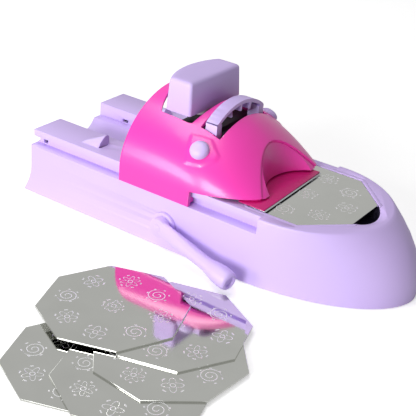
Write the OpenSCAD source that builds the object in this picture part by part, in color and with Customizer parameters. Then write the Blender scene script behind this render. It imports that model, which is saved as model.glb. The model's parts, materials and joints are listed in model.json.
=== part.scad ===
// Nail stamping machine: a boat-shaped table unit with a sliding hood, a press with a
// rubber pad, a scraper, a side lever that lifts the finger rest, and loose design plates.
// The origin lies on the table, on the centre line, under the middle grip strip.
// "From the stern" means along +X from the stern face of the deck. +Z is up.

/* [Deck and track] */
// Width of the deck over its two lips
deck_w = 72; // [70:0.5:76]
// Height of the deck above the table
deck_z = 34.3; // [34:0.1:37]
// Thickness of the deck and its lips
deck_t = 3.5; // [3.2:0.1:4]
// Length of the track from the stern to the bow wall
track_len = 139.3; // [136:0.1:142]
// Height of the groove between lip and ledge
groove_h = 4.3; // [4:0.1:5.5]
// Depth of the groove under the lip
groove_in = 3; // [2.6:0.1:3.4]
// How far the shell's ledge stands out past the lip
ledge_out = 2.9; // [2.7:0.1:4]
// Stern face of the deck behind the origin
stern_back = 99; // [95:0.5:103]

/* [Base shell] */
// Wall of the base shell
shell_wall = 2.2; // [1.8:0.1:2.6]
// How much wider each side is at the foot than at the ledge
foot_out = 1.2; // [0.5:0.1:3]
// How far the foot runs out behind the stern
stern_out = 4.3; // [2:0.1:6]
// Height at which the foot's flare dies out
flare_h = 16; // [12:0.5:20]
// Rim outline: end of its straight sides, from the stern
rim_start = 143; // [142:0.5:148]
// Rim outline: its tip, from the stern
rim_tip = 185; // [184:0.5:190]
// Foot outline: end of its straight sides, from the stern
foot_start = 130; // [126:0.2:136]
// Foot outline: its tip, from the stern
foot_tip = 203.3; // [199:0.1:208]
// Roundness of the bow in plan, 2 is an ellipse
bow_power = 1.9; // [1.85:0.05:2.2]
// Gap between the shell's edge and the table
shell_lift = 0.4; // [0.2:0.1:0.8]

/* [Bottom cover and feet] */
// Thickness of the bottom cover
cover_t = 2; // [1.6:0.1:2.4]
// Height of the cover's underside above the table
cover_z = 1.2; // [1:0.1:1.4]
// Length of each rubber grip strip across the base
strip_len = 50; // [40:1:54]
// Width of each rubber grip strip
strip_w = 8; // [6:0.5:12]
// Radius of the cover screws
cover_screw_r = 1.2; // [1:0.1:1.4]
// Length of the cover screws under the head
cover_screw_len = 10; // [8:0.5:12]

/* [Finger rest] */
// Width of the finger channel
channel_w = 32.5; // [31:0.5:34]
// Length of the finger channel from the stern
channel_len = 66; // [64:0.5:67]
// Wall of the finger channel
channel_wall = 2; // [1.6:0.1:2.4]
// Radius of the trough that holds the finger
trough_r = 12; // [10:0.5:13]
// Height of the trough's shoulders at its lowest position
rest_top_z = 27.3; // [26.5:0.1:28]
// How far the lever lifts the finger rest
rest_lift = 5; // [3:0.1:5.5]
// Radius of the two guide posts
post_r = 2; // [1.6:0.1:2.4]
// Guide posts from the stern
post_at = [14, 50];

/* [Side lever] */
// Lever shaft from the stern
shaft_at = 88.5; // [87:0.5:90]
// Height of the lever shaft
shaft_z = 12.5; // [12.3:0.1:13]
// Radius of the lever shaft
shaft_r = 2.2; // [2:0.1:2.5]
// Radius of the lifting cam
cam_r = 6; // [5.5:0.1:6.2]
// Width of the lifting cam
cam_w = 8; // [6:0.5:10]
// Turn of the lever from its lowest to its highest position
lever_turn = 60; // [50:1:70]
// Length of the lever from the shaft to the end of its knob
lever_len = 49; // [44:0.5:52]
// Radius of the round boss behind the lever
lever_boss_r = 6.5; // [6:0.1:7]
// Radius of the lever's hub
lever_hub_r = 5; // [4.5:0.1:5.6]
// Radius of the lever's knob
knob_r = 4.9; // [4.4:0.1:5.2]
// Radius of the lever's neck
neck_r = 3.4; // [3:0.1:3.8]
// Dip of the lever below level
lever_dip = 8; // [7:0.5:9]
// Swing of the lever away from the wall
lever_splay = 11; // [9:0.5:13]

/* [Design plates] */
// Width of an octagonal plate across its flats
plate_af = 62; // [61:0.2:62.6]
// Thickness of a plate
plate_t = 0.8; // [0.5:0.1:1]
// Centre of the plate in its bed, from the stern
plate_at = 142.3; // [141.5:0.1:143]
// How far the plate lies below the deck
plate_sink = 0.3; // [0.2:0.1:0.4]
// Border of the plate bed
bed_border = 1.6; // [1.2:0.1:1.7]
// Floor of the plate bed
bed_floor = 1.8; // [1.4:0.1:1.9]
// Radius of the shallow thumb dish at deck level
dish_r = 12.9; // [12:0.1:13.2]
// Depth of the thumb dish
dish_depth = 3; // [2:0.1:3.2]
// How far the well under the thumb runs out past the plate
well_out = 5.7; // [5.2:0.1:6.5]

/* [Hood] */
// Width of the hood over its skirts
hood_w = 79; // [78.6:0.1:80]
// Wall of the hood
hood_wall = 2; // [1.8:0.1:2.2]
// Rear edge of the hood, from the stern
hood_rear = 59.6; // [58:0.1:60.5]
// Front end of the skirts, from the stern
skirt_front = 101.3; // [100.5:0.1:102]
// Height of the hood's crest
crest_z = 67.7; // [66.5:0.1:69]
// Height at which the sides start to curve in
side_z = 33.5; // [32:0.1:34.5]
// Lower front corner of the mouth, from the stern
mouth_at = 134.3; // [133:0.1:135]
// Lean of the mouth from upright
mouth_lean = 38; // [36:0.5:39]

/* [Press] */
// Axis of the press, from the stern
press_at = 78; // [77.5:0.1:78.5]
// Width of the press block
block_w = 43.2; // [42:0.1:43.4]
// Front face of the block ahead of the press axis
block_ahead = 8.7; // [8:0.1:8.9]
// Length of the block's straight sides
block_side = 14; // [13:0.2:15]
// Underside of the block
block_z = 62.6; // [62.3:0.1:63]
// Height of the block
block_h = 16.2; // [14.5:0.1:17]
// Wall of the block
block_wall = 2; // [1.6:0.1:2.3]
// Travel of the press
press_travel = 6; // [4:0.1:6]
// Radius of the press stem
stem_r = 4; // [3.6:0.1:4.2]
// Radius of the rubber pad
pad_r = 10.5; // [9:0.1:10.8]
// Thickness of the rubber pad
pad_t = 3.6; // [3:0.1:3.8]

/* [Scraper] */
// Scraper pivot from the stern
pivot_at = 100.1; // [99.8:0.1:100.4]
// Height of the scraper pivot
pivot_z = 48.8; // [48.4:0.1:49.2]
// Radius of the pivot pins
pivot_r = 2; // [1.6:0.1:2.2]
// Width of the arch over its feet
arch_w = 40.6; // [40.2:0.1:41.4]
// Height of the arch's feet
foot_cut_z = 56.9; // [56.5:0.1:57.5]
// Top of the arch
arch_top_z = 69.2; // [68.5:0.1:70]
// Thickness of the arch along the machine
arch_t = 6.5; // [5.8:0.1:6.7]
// Outer radius of the arch
arch_r = 33; // [31:0.2:36]
// Height of the scraper blade above the deck at rest
blade_gap = 0.3; // [0.3:0.05:0.4]
// Thickness of the steel blade
blade_t = 0.3; // [0.2:0.05:0.35]
// Thickness of the tongue that carries the blade
tongue_t = 0.5; // [0.4:0.05:0.6]

/* [Screw caps] */
// Cap centre from the stern
cap_at = 99.3; // [99:0.1:99.6]
// Radius of a cap
cap_r = 4.7; // [4.4:0.1:5.4]
// Height of a cap's dome
cap_h = 2.6; // [2:0.1:3]

/* [Fits] */
// Radial gap of a shaft that turns or slides in its bore
run_gap = 0.05; // [0.03:0.01:0.08]
// Gap between parts that pass each other
pass_gap = 0.3; // [0.25:0.05:0.35]
// Gap between the deck and the carriage's glides
glide_gap = 0.1; // [0.05:0.01:0.15]

/* [Hidden] */
$fn = 64;
lilac = [0.80, 0.73, 0.93];
pink = [0.96, 0.22, 0.68];
steel = [0.66, 0.67, 0.64];
rubber = [0.25, 0.25, 0.28];
far = 200;
eps = 0.01;

// Deck and shell heights
lip_z = deck_z - deck_t;
ledge_z = lip_z - groove_h;
deck_half = deck_w / 2;
back_half = deck_half - groove_in;
back_wall = 2;
ledge_half = deck_half + ledge_out;
ledge_t = 2.2;
rim_chamfer = 0.8;
cover_top = cover_z + cover_t;

// Cover screws sit in bosses under the ledges and beside the thumb bowl
boss_r = 3;
side_boss_y = ledge_half - boss_r - 2.4;
bow_boss = [rim_tip - 10, 17];
boss_at = [[12, side_boss_y], [104, side_boss_y], bow_boss];
strip_at = [14, stern_back, 168];

// Plate bed and thumb bowl
pocket_af = plate_af + 2 * pass_gap;
bed_af = pocket_af + 2 * bed_border;
plate_z = deck_z - plate_sink - plate_t;
bed_z = plate_z - bed_floor;
seat_gap = 0.1;
dish_at = plate_at + plate_af / 2 - 3.5;
dish_ball = (dish_r * dish_r + dish_depth * dish_depth) / (2 * dish_depth);
well_half = plate_af / 2 * tan(22.5);
well_ball = (well_half * well_half + well_out * well_out) / (2 * well_out);
well_rear = plate_at + plate_af / 2 - 7;
window_from = plate_at - 24;
window_to = plate_at + 18;
window_half = 24;

// Finger rest, cam and posts
lever_boss_out = 1.6;
hub_y = -ledge_half - lever_boss_out - pass_gap;
hub_w = 3.9;
throw = rest_lift / (2 * sin(lever_turn / 2));
cam_hub_r = shaft_r + 1.2;
follower_z = shaft_z + max(cam_r - rest_lift / 2, cam_hub_r) + pass_gap;
tail_t = 3;
rest_bottom = follower_z + tail_t;
trough_z = rest_bottom + 1.7 + trough_r;
rest_half = channel_w / 2 - pass_gap;
channel_bottom = 14;
tail_end = shaft_at + 8;
tail_half = 8;
sleeve_r = post_r + 2.5;
sleeve_z = 7;
post_top = follower_z + 2.3;
post_boss_h = 3;
rest_spring_at = channel_len + channel_wall + 7;

// Carriage
skirt_z = ledge_z + pass_gap;
edge_z = deck_z + 0.5;
edge_rise = 1.8;
hood_half = hood_w / 2;
hook_in = back_half + 0.4;
glide_z = deck_z + glide_gap;
foot_z = deck_z + 0.6;
foot_top = glide_z + 3;
glide_in = back_half - 1.5;
glide_out = hood_half - hood_wall - 0.8;
cheek_in = hood_half - 16;
cheek_t = 2.5;
frame_rear = 72.5;
frame_front = 92;
bridge_z = 50;
bridge_t = 3;
guide_r = stem_r + 2.4;
guide_top = bridge_z + bridge_t + 4;
bush_r = stem_r + 1;
lug_in = arch_w / 2 - 0.4;
lug_t = 2;
lug_rear = pivot_at - 4.6;
lug_front = pivot_at + 4.6;
lug_top = pivot_z + 3.6;

// Hood: how its sides draw in and its crest drops towards the mouth
nose_start = skirt_front - 4.1;
nose_len = 36;
nose_in = 10.6;
drop_start = hood_rear + 1.6;
drop_len = 63;
drop_power = 3.09;
crest_drop = 17.7;
panel_t = 1.6;
scoop_low = [146.8, 23.6, 36.4];
scoop_high = [153.6, 34.8, 56];
rear_power = 1.9;
power_drop = 0.13;
power_len = 72;

// Screw caps stand square to the hood's side
cap_angle = 39.3;
cap_shank = 2.4;
cap_bore = 2.5;
head_depth = 2.4;
hood_screw_r = 1.2;
hood_boss_r = 3.6;
post_face = 5;
post_sink = 0.87;

// Press
block_front = press_at + block_ahead;
block_half = block_w / 2;
rear_bulge_r = 41;
rear_bulge_at = press_at + 29.4;
block_corner = 1.6;
flange_z = block_z + 7.4;
flange_t = 2.2;
flange_len = 32;
stem_screw_y = 13;
pad_z = deck_z + pass_gap + press_travel;
holder_r = pad_r + 1;
holder_z = pad_z + pad_t;
holder_t = 3.6;
guide_z = holder_z + holder_t + pass_gap;
opening_half = block_half + 0.6;
opening_gap = 1.3;
opening_corner = 2.4;

// Scraper
arch_half = arch_w / 2;
arch_rear = pivot_at - 5;
arch_front = arch_rear + arch_t;
arch_skin = 1.8;
arch_depth = 5.2;
arch_end_z = arch_top_z - arch_r + sqrt(pow(arch_r, 2) - pow(arch_half, 2));
ear_out = lug_in - 0.4;
ear_t = 3.2;
ear_in = ear_out - ear_t;
pin_in = ear_in - 7.4;
ear_r = 5.4;
arm_t = 2.8;
slot_rear = arch_rear - 2.1;
slot_front = arch_front + 2.8;
slot_half = arch_half + 1;
blade_z = deck_z + blade_gap;
tongue_z = blade_z + blade_t;
arm_half = 4.6;
arm_rise = 3.8;
tongue_rear = pivot_at + 6.9;
tongue_wide = 124;
tongue_taper = 2;
tongue_near = [tongue_wide + 13.9, -31.7];
tongue_far = [tongue_wide + 12.1, 23];
blade_rear = tongue_wide + 6;
blade_out = 0.8;

// Catches on the deck that keep the carriage on its track
catch_rear = 28;
catch_front = 39;
catch_in = 22.5;
catch_out = 31;
catch_h = 5.2;

// Loose plates from the lowest to the highest: from the stern, across, turn
pile = [[121.3, -134.3, 109.3], [144, -129.6, 106.5], [145.4, -108.7, 84.9],
        [135, -91.9, 106.3], [107.6, -99.4, 109.4]];

function fs(d) = d - stern_back;
function sgn_pow(v, p) = sign(v) * pow(abs(v), p);

// Outline of the base shell at height z, counter-clockwise from above
function flare(z) = pow(max(0, 1 - z / flare_h), 2);
function start_share(z) = 1 - pow(z / deck_z, 2);
function tip_share(z) = 1 - pow(z / deck_z, 3);
function mix(a, b, t) = a + (b - a) * t;
function shell_ring(z, inset = 0) =
    let (h = ledge_half + foot_out * flare(z) - inset,
         stern = -stern_out * flare(z) + inset,
         start = mix(rim_start, foot_start, start_share(z)),
         tip = mix(rim_tip, foot_tip, tip_share(z)) - inset,
         corner = 1.2,
         steps = 30)
    concat([[fs(stern), -h + corner, z], [fs(stern + corner), -h, z]],
           [for (k = [0:steps])
                let (a = -90 + 180 * k / steps)
                [fs(start + (tip - start) * pow(cos(a), 2 / bow_power)),
                 h * sgn_pow(sin(a), 2 / bow_power), z]],
           [[fs(stern + corner), h, z], [fs(stern), h - corner, z]]);

// Hood: half width and crest height at a distance from the stern, and its section
function hood_a(d, inset) =
    hood_half - nose_in * pow(max(d - nose_start, 0) / nose_len, 2) - inset;
function hood_top(d, inset) =
    crest_z - crest_drop * pow(max(d - drop_start, 0) / drop_len, drop_power) - inset;
function hood_power(d) = rear_power - power_drop * (d - hood_rear) / power_len;
function hood_ring(d, inset, low, steps) =
    let (a = hood_a(d, inset), h = hood_top(d, inset) - side_z, p = 2 / hood_power(d))
    concat([[fs(d), a, low]],
           [for (k = [0:steps])
                let (t = 180 * k / steps)
                [fs(d), a * sgn_pow(cos(t), p), side_z + h * pow(abs(sin(t)), p)]],
           [[fs(d), -a, low]]);

function hood_point(d, t) =
    let (p = 2 / hood_power(d))
    [fs(d), hood_a(d, 0) * sgn_pow(cos(t), p),
     side_z + (hood_top(d, 0) - side_z) * pow(abs(sin(t)), p)];
function hood_normal(d, t) =
    let (n = cross(hood_point(d, t + 0.1) - hood_point(d, t - 0.1),
                   hood_point(d + 0.1, t) - hood_point(d - 0.1, t)))
    n / norm(n);

// Depth under the hood's surface at which the cap's post reaches the lug
cap_point = hood_point(cap_at, cap_angle);
cap_normal = hood_normal(cap_at, cap_angle);
post_end = (cap_point[1] - lug_in - lug_t) / cap_normal[1] - post_sink;

module both_sides() {
    children();
    mirror([0, 1, 0]) children();
}

// Closed skin over equal rings that run counter-clockwise seen from the last one
module loft(rings) {
    n = len(rings[0]);
    m = len(rings);
    polyhedron(
        points = [for (r = rings, p = r) p],
        faces = concat(
            [[for (j = [0:n - 1]) j]],
            [[for (j = [n - 1:-1:0]) (m - 1) * n + j]],
            [for (i = [0:m - 2], j = [0:n - 1])
                let (a = i * n + j, b = i * n + (j + 1) % n)
                each [[a, a + n, b + n], [a, b + n, b]]]));
}

// Box given by its low and high corner, with x from the stern
module box(low, high) {
    translate([fs(low[0]), low[1], low[2]])
        cube([high[0] - low[0], high[1] - low[1], high[2] - low[2]]);
}

// Rod along +Y from y0 to y1
module rod_y(d, z, r, y0, y1) {
    translate([fs(d), y0, z]) rotate([-90, 0, 0]) cylinder(r = r, h = y1 - y0);
}

module rod_z(d, y, r, z0, z1) {
    translate([fs(d), y, z0]) cylinder(r = r, h = z1 - z0);
}

module octagon(d, y, turn, af, z, t) {
    translate([fs(d), y, z]) rotate(turn + 22.5)
        linear_extrude(t) circle(r = af / 2 / cos(22.5), $fn = 8);
}

// Coil about Z between two flat seats, one tube with 6 sides and 8 rings a turn
module coil(r, wire, z0, z1, turns) {
    rings = turns * 8;
    rise = z1 - z0 - wire;
    mid = [for (i = [0:rings])
        let (t = 45 * i) [r * cos(t), r * sin(t), z0 + wire / 2 + rise * i / rings]];
    echo(least_gap = min([for (i = [0:rings - 6], j = [i + 6:min(i + 10, rings)])
        norm(mid[i] - mid[j])]) - wire);
    loft([for (i = [0:rings])
        [for (k = [0:5])
            let (rr = r - wire / 2 * cos(60 * k))
            [rr * cos(45 * i), rr * sin(45 * i), mid[i][2] + wire / 2 * sin(60 * k)]]]);
}

// Shallow dish for the thumb, and the well that lets it reach under the plate's edge
module thumb_notch() {
    translate([fs(dish_at), 0, deck_z - dish_depth + dish_ball]) sphere(r = dish_ball, $fn = 128);
    translate([0, 0, ledge_z]) linear_extrude(far) intersection() {
        translate([fs(plate_at + plate_af / 2 + well_out - well_ball), 0])
            circle(r = well_ball, $fn = 128);
        translate([fs(well_rear), -well_half]) square([far, 2 * well_half]);
    }
}

module base_shell() color(lilac) difference() {
    loft([for (z = [shell_lift, 2.5, 5, 8, 11.5, flare_h, 21, 25, 29, deck_z - rim_chamfer])
              shell_ring(z),
          each [shell_ring(deck_z, rim_chamfer)]]);
    difference() {
        loft([for (z = [-1, 2.5, 5, 8, 11.5, flare_h, 21, 25, lip_z]) shell_ring(z, shell_wall)]);
        both_sides() {
            box([0, back_half - back_wall, ledge_z - ledge_t],
                [track_len, ledge_half - shell_wall / 2, ledge_z]);
            for (b = boss_at) rod_z(b[0], b[1], boss_r, cover_top, lip_z + eps);
        }
        box([track_len, -ledge_half + shell_wall / 2, ledge_z - ledge_t],
            [track_len + shell_wall, ledge_half - shell_wall / 2, lip_z]);
    }
    box([-10, -far / 2, ledge_z], [track_len, far / 2, far]);
    box([-10, -channel_w / 2 - channel_wall - seat_gap, channel_bottom - seat_gap],
        [shell_wall + 1, channel_w / 2 + channel_wall + seat_gap, far]);
    octagon(plate_at, 0, 0, bed_af + 2 * seat_gap, bed_z, far);
    box([track_len - 1, -window_half, ledge_z - ledge_t - 1],
        [window_to, window_half, bed_z + 1]);
    thumb_notch();
    both_sides() for (b = boss_at)
        rod_z(b[0], b[1], cover_screw_r, 0, cover_z + cover_screw_len + 1);
    rod_y(shaft_at, shaft_z, lever_boss_r + seat_gap, -ledge_half - 5, -ledge_half + 6);
}

// Ramp with a hollow underside that opens towards the bow
// Ramp catch: its arched end face stops the carriage, with a narrow slot at its foot
module catch_solid() hull() {
    box([catch_rear, catch_in, lip_z], [catch_front, catch_out, deck_z + eps]);
    translate([fs(catch_front) - eps, 0, deck_z]) rotate([90, 0, 90]) linear_extrude(eps)
        polygon([[catch_out, 0], [catch_out - 1.6, catch_h * 0.44],
                 [catch_out - 3.5, catch_h * 0.77], [catch_out - 5.5, catch_h * 0.96],
                 [catch_in + 1.7, catch_h], [catch_in + 0.7, catch_h * 0.86],
                 [catch_in + 0.1, catch_h * 0.45], [catch_in, 0]]);
}

module catch_hollow()
    box([catch_front, catch_in + 0.9, lip_z - 1], [catch_front + 0.8, catch_out - 0.9, far]);

module deck() color(lilac) difference() {
    union() {
        box([0, -deck_half, lip_z], [track_len, deck_half, deck_z]);
        both_sides() {
            box([0, back_half - back_wall, ledge_z], [track_len, back_half, lip_z]);
            box([0, channel_w / 2, ledge_z], [back_wall, back_half, lip_z]);
            box([0, channel_w / 2, channel_bottom],
                [channel_len + channel_wall, channel_w / 2 + channel_wall, lip_z]);
            catch_solid();
        }
        box([channel_len, -channel_w / 2, rest_bottom + rest_lift + 1],
            [channel_len + channel_wall, channel_w / 2, lip_z]);
    }
    box([-1, -channel_w / 2, 0], [channel_len, channel_w / 2, far]);
    octagon(plate_at, 0, 0, bed_af + 2 * seat_gap, bed_z, far);
    box([window_from, -window_half, 0], [track_len + 1, window_half, far]);
    both_sides() {
        catch_hollow();
        box([-1, back_half - back_wall - 1, ledge_z + 0.4], [1.4, back_half + 1, lip_z - 1]);
        box([4, back_half - back_wall - 1, ledge_z + 0.7], [7, back_half + 1, lip_z - 0.8]);
        box([16, channel_w / 2 - 1, rest_top_z + 0.5],
            [20, channel_w / 2 + channel_wall + 1, rest_top_z + 2.2]);
    }
}

module plate_bed() color(lilac) difference() {
    octagon(plate_at, 0, 0, bed_af, bed_z, deck_z - bed_z);
    octagon(plate_at, 0, 0, pocket_af, plate_z, far);
    thumb_notch();
}

module design_plate(d, y, turn, z) color(steel) octagon(d, y, turn, plate_af, z, plate_t);

module bed_plate() design_plate(plate_at, 0, 0, plate_z);

module bottom_cover() color(lilac) {
    outline = [for (p = shell_ring(cover_top, shell_wall + seat_gap)) [p[0], p[1]]];
    difference() {
        union() {
            translate([0, 0, cover_z]) linear_extrude(cover_t) polygon(outline);
            for (d = post_at) rod_z(d, 0, post_r + 2, cover_top, cover_top + post_boss_h);
            box([shaft_at - 5, 10, cover_top], [shaft_at + 5, 16, shaft_z + shaft_r + 2]);
        }
        for (d = post_at) rod_z(d, 0, post_r, cover_z + 0.6, cover_top + post_boss_h + 1);
        rod_y(shaft_at, shaft_z, shaft_r + run_gap, 9, 17);
        both_sides() for (b = boss_at) {
            rod_z(b[0], b[1], cover_screw_r, 0, cover_top + 1);
            rod_z(b[0], b[1], 2.6, 0, cover_z + 1.2);
        }
    }
}

module cover_screws() color(steel) both_sides() for (b = boss_at) {
    rod_z(b[0], b[1], 2.4, cover_z, cover_z + 1.2);
    rod_z(b[0], b[1], cover_screw_r, cover_z + 1.2, cover_z + cover_screw_len);
}

module grip_strips() color(rubber) for (d = strip_at)
    box([d - strip_w / 2, -strip_len / 2, 0], [d + strip_w / 2, strip_len / 2, cover_z]);

module guide_posts() color(steel) for (d = post_at)
    rod_z(d, 0, post_r, cover_z + 0.6, post_top);

module lever_bush() color(lilac) difference() {
    union() {
        rod_y(shaft_at, shaft_z, lever_boss_r, -ledge_half - lever_boss_out, -ledge_half + 2);
        rod_y(shaft_at, shaft_z, shaft_r + 2, -ledge_half, -ledge_half + 5);
    }
    rod_y(shaft_at, shaft_z, shaft_r + run_gap, -ledge_half - 2, -ledge_half + 6);
}

module finger_rest() color(lilac) difference() {
    union() {
        box([pass_gap, -rest_half, rest_bottom], [channel_len - 4, rest_half, rest_top_z]);
        box([pass_gap, -rest_half, channel_bottom + 0.1],
            [pass_gap + 2, rest_half, rest_bottom + 1]);
        box([post_at[1], -tail_half, follower_z], [tail_end, tail_half, rest_bottom]);
        for (d = post_at) rod_z(d, 0, sleeve_r, sleeve_z, rest_bottom + 1);
    }
    translate([fs(-1), 0, trough_z]) rotate([0, 90, 0]) cylinder(r = trough_r, h = channel_len);
    for (d = post_at) rod_z(d, 0, post_r + run_gap, sleeve_z - 1, post_top + 0.6);
}

module rest_spring() color(steel) translate([fs(rest_spring_at), 0, 0])
    coil(4, 0.9, rest_bottom + eps, lip_z - eps, 5);

module lever_shaft() color(steel)
    rod_y(shaft_at, shaft_z, shaft_r, hub_y - hub_w + 1, 18);

module lift_cam() color(lilac) difference() {
    union() {
        rod_y(shaft_at + throw * cos(lever_turn / 2), shaft_z - rest_lift / 2, cam_r,
              -cam_w / 2, cam_w / 2);
        rod_y(shaft_at, shaft_z, cam_hub_r, -cam_w / 2 - 2, cam_w / 2 + 2);
    }
    rod_y(shaft_at, shaft_z, shaft_r, -cam_w, cam_w);
}

// Handle profile about its own axis: neck, flare, knob and the dished end
module knob_profile() {
    l = lever_len;
    difference() {
        polygon(concat([[0, 20], [neck_r, 20], [neck_r, l - 17]],
            [for (k = [1:8])
                let (t = k / 8)
                [mix(neck_r, knob_r, t * t * (3 - 2 * t)), l - 17 + 11 * t]],
            [for (k = [1:5])
                let (a = 90 * k / 5 * 0.8)
                [knob_r - 2 * (1 - cos(a)), l - 2 + 2 * sin(a)]],
            [[0, l]]));
        translate([0, l - 1.2]) square([2.6, 4]);
    }
}

module side_lever() color(lilac) {
    difference() {
        union() {
            rod_y(shaft_at, shaft_z, lever_hub_r, hub_y - hub_w, hub_y);
            translate([fs(shaft_at), hub_y - hub_w / 2, shaft_z])
                rotate([0, 90 + lever_dip, -lever_splay]) {
                    hull() {
                        translate([0, 0, 1]) scale([1, 0.42, 1]) sphere(r = 4.6, $fn = 32);
                        translate([0, 0, 24]) sphere(r = neck_r, $fn = 32);
                    }
                    rotate_extrude() knob_profile();
                }
        }
        rod_y(shaft_at, shaft_z, shaft_r, hub_y - hub_w + 1, 0);
        rod_y(shaft_at, shaft_z, 12, hub_y, 0);
        rod_y(shaft_at, shaft_z, 1, hub_y - hub_w - 5, 0);
        rod_y(shaft_at, shaft_z, 2.1, hub_y - hub_w - 6, hub_y - hub_w + 0.4);
    }
}

module lever_screw() color(steel) {
    face = hub_y - hub_w;
    rod_y(shaft_at, shaft_z, 2, face - 0.6, face + 0.4);
    rod_y(shaft_at, shaft_z, 1, face, face + 1);
}

// Places children square to the hood's side, with z = 0 on its surface
module at_cap() {
    n = cap_normal;
    translate(cap_point)
        rotate([0, atan2(n[0], n[2]), 0]) rotate([-asin(n[1]), 0, 0]) children();
}

module hood_body(inset, low, from, to, count, steps) {
    loft([for (i = [0:count]) hood_ring(mix(from, to, i / count), inset, low, steps)]);
}

module hood() color(pink) difference() {
    hood_body(0, skirt_z, hood_rear, mouth_at + 4.5, 22, 36);
    difference() {
        hood_body(hood_wall, skirt_z - 1, hood_rear - 1, mouth_at + 5.5, 16, 28);
        both_sides() {
            box([hood_rear + 1.4, hook_in, skirt_z + 0.4],
                [skirt_front - 1.3, hood_half - hood_wall / 2, lip_z - pass_gap]);
            at_cap() translate([0, 0, -post_face]) cylinder(r = hood_boss_r, h = post_face);
        }
    }
    box([skirt_front, -far / 2, 0], [far, far / 2, edge_z]);
    translate([fs(skirt_front), -far / 2, edge_z])
        rotate([0, -atan(edge_rise / (mouth_at - skirt_front)), 0])
        translate([0, 0, -10]) cube([80, far, 10]);
    before_mouth();
    block_opening();
    box([slot_rear, -slot_half, foot_cut_z - 4.5], [slot_front, slot_half, far]);
    both_sides() at_cap() {
        translate([0, 0, -head_depth]) cylinder(r = cap_bore, h = head_depth + 4);
        translate([0, 0, -post_face - 1]) cylinder(r = hood_screw_r, h = post_face);
    }
}

// Hollow that the mouth's panel is wrapped round: a leaning cone, wider towards the crest
module scoop(grow) hull()
    for (ring = [scoop_low, scoop_high])
        translate([fs(ring[0]), 0, ring[2]]) cylinder(r = ring[1] + grow, h = eps, $fn = 120);

// Everything ahead of the mouth's slanted plane, or of a plane that much behind it
module before_mouth(back = 0)
    translate([fs(mouth_at), -far / 2, edge_z]) rotate([0, -mouth_lean, 0])
        translate([-back, 0, -20]) cube([80, far, 120]);

// Concave panel behind the mouth, open over the tongue
module mouth_panel() color(pink) difference() {
    intersection() {
        hood_body(hood_wall + seat_gap, skirt_z - 1, hood_rear - 1, mouth_at + 5.5, 16, 28);
        union() {
            scoop(panel_t);
            before_mouth(panel_t);
        }
    }
    scoop(0);
    before_mouth();
    translate([0, -far / 2, 0]) cube([far, far, scoop_low[2]]);
}

// Opening in the hood's crest, straight at the sides and bowed at both ends
module block_opening() {
    front = block_front + opening_gap;
    rear_at = rear_bulge_at - 1.2;
    rear = rear_at - rear_bulge_r - opening_gap - 0.6;
    bow_r = 92;
    bow = 2.7;
    translate([0, 0, crest_z - 20]) linear_extrude(60)
        offset(r = opening_corner, $fn = 48) offset(delta = -opening_corner) intersection() {
        translate([fs(rear), -opening_half]) square([front - rear + bow, 2 * opening_half]);
        translate([fs(front + bow - bow_r), 0]) circle(r = bow_r, $fn = 200);
        translate([fs(rear_at), 0]) circle(r = rear_bulge_r + opening_gap, $fn = 200);
    }
}

module carriage_frame() color([0.2, 0.2, 0.22]) difference() {
    union() {
        both_sides() {
            box([hood_rear + 1.4, glide_in, glide_z], [skirt_front - 0.5, glide_out, foot_top]);
            box([frame_rear, cheek_in, foot_z], [frame_front, glide_in + 1, foot_top]);
            box([frame_rear, cheek_in, foot_z],
                [frame_front, cheek_in + cheek_t, bridge_z + bridge_t]);
            box([lug_rear, lug_in, foot_z], [lug_front, glide_in + 1, foot_top]);
            box([lug_rear, lug_in, foot_z], [lug_front, lug_in + lug_t, lug_top]);
            at_cap() translate([0, 0, -post_end]) cylinder(r = 3.4, h = post_end - post_face);
        }
        box([frame_rear, -cheek_in, bridge_z], [frame_front, cheek_in, bridge_z + bridge_t]);
        rod_z(press_at, 0, guide_r, guide_z, guide_top);
    }
    rod_z(press_at, 0, bush_r, 0, far);
    rod_y(pivot_at, pivot_z, pivot_r, -lug_in - lug_t, lug_in + lug_t);
    both_sides() at_cap()
        translate([0, 0, -post_end - 1]) cylinder(r = hood_screw_r, h = post_end);
}

module hood_screws() color(steel) both_sides() at_cap() {
    translate([0, 0, -head_depth]) cylinder(r = cap_shank, h = 1.3);
    translate([0, 0, -post_end + 0.2]) cylinder(r = hood_screw_r, h = post_end - head_depth);
}

module screw_caps() color(lilac) both_sides() at_cap() {
    ball = (cap_r * cap_r + cap_h * cap_h) / (2 * cap_h);
    rim = 1.1;
    translate([0, 0, -1]) cylinder(r = cap_shank, h = 2);
    translate([0, 0, rim - 0.9]) cylinder(r = cap_r, h = 0.9);
    intersection() {
        translate([0, 0, rim + cap_h - ball]) sphere(r = ball);
        translate([0, 0, rim - eps]) cylinder(r = cap_r, h = cap_h + 1);
    }
}

module stem_bush() color([0.95, 0.95, 0.9]) difference() {
    rod_z(press_at, 0, bush_r, guide_z, guide_top);
    rod_z(press_at, 0, stem_r + run_gap, 0, far);
}

module pivot_pins() color(steel) both_sides()
    rod_y(pivot_at, pivot_z, pivot_r, pin_in, lug_in + lug_t);

// Plan of the press block: flat front, straight sides and a bowed rear
module block_plan(inset) {
    offset(r = block_corner, $fn = 32) offset(delta = -block_corner - inset) intersection() {
        translate([fs(block_front - block_side - 8), -block_half])
            square([block_side + 8, block_w]);
        translate([fs(rear_bulge_at), 0]) circle(r = rear_bulge_r, $fn = 120);
    }
}

module block_layer(z, inset) translate([0, 0, z]) linear_extrude(eps) block_plan(inset);

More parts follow.
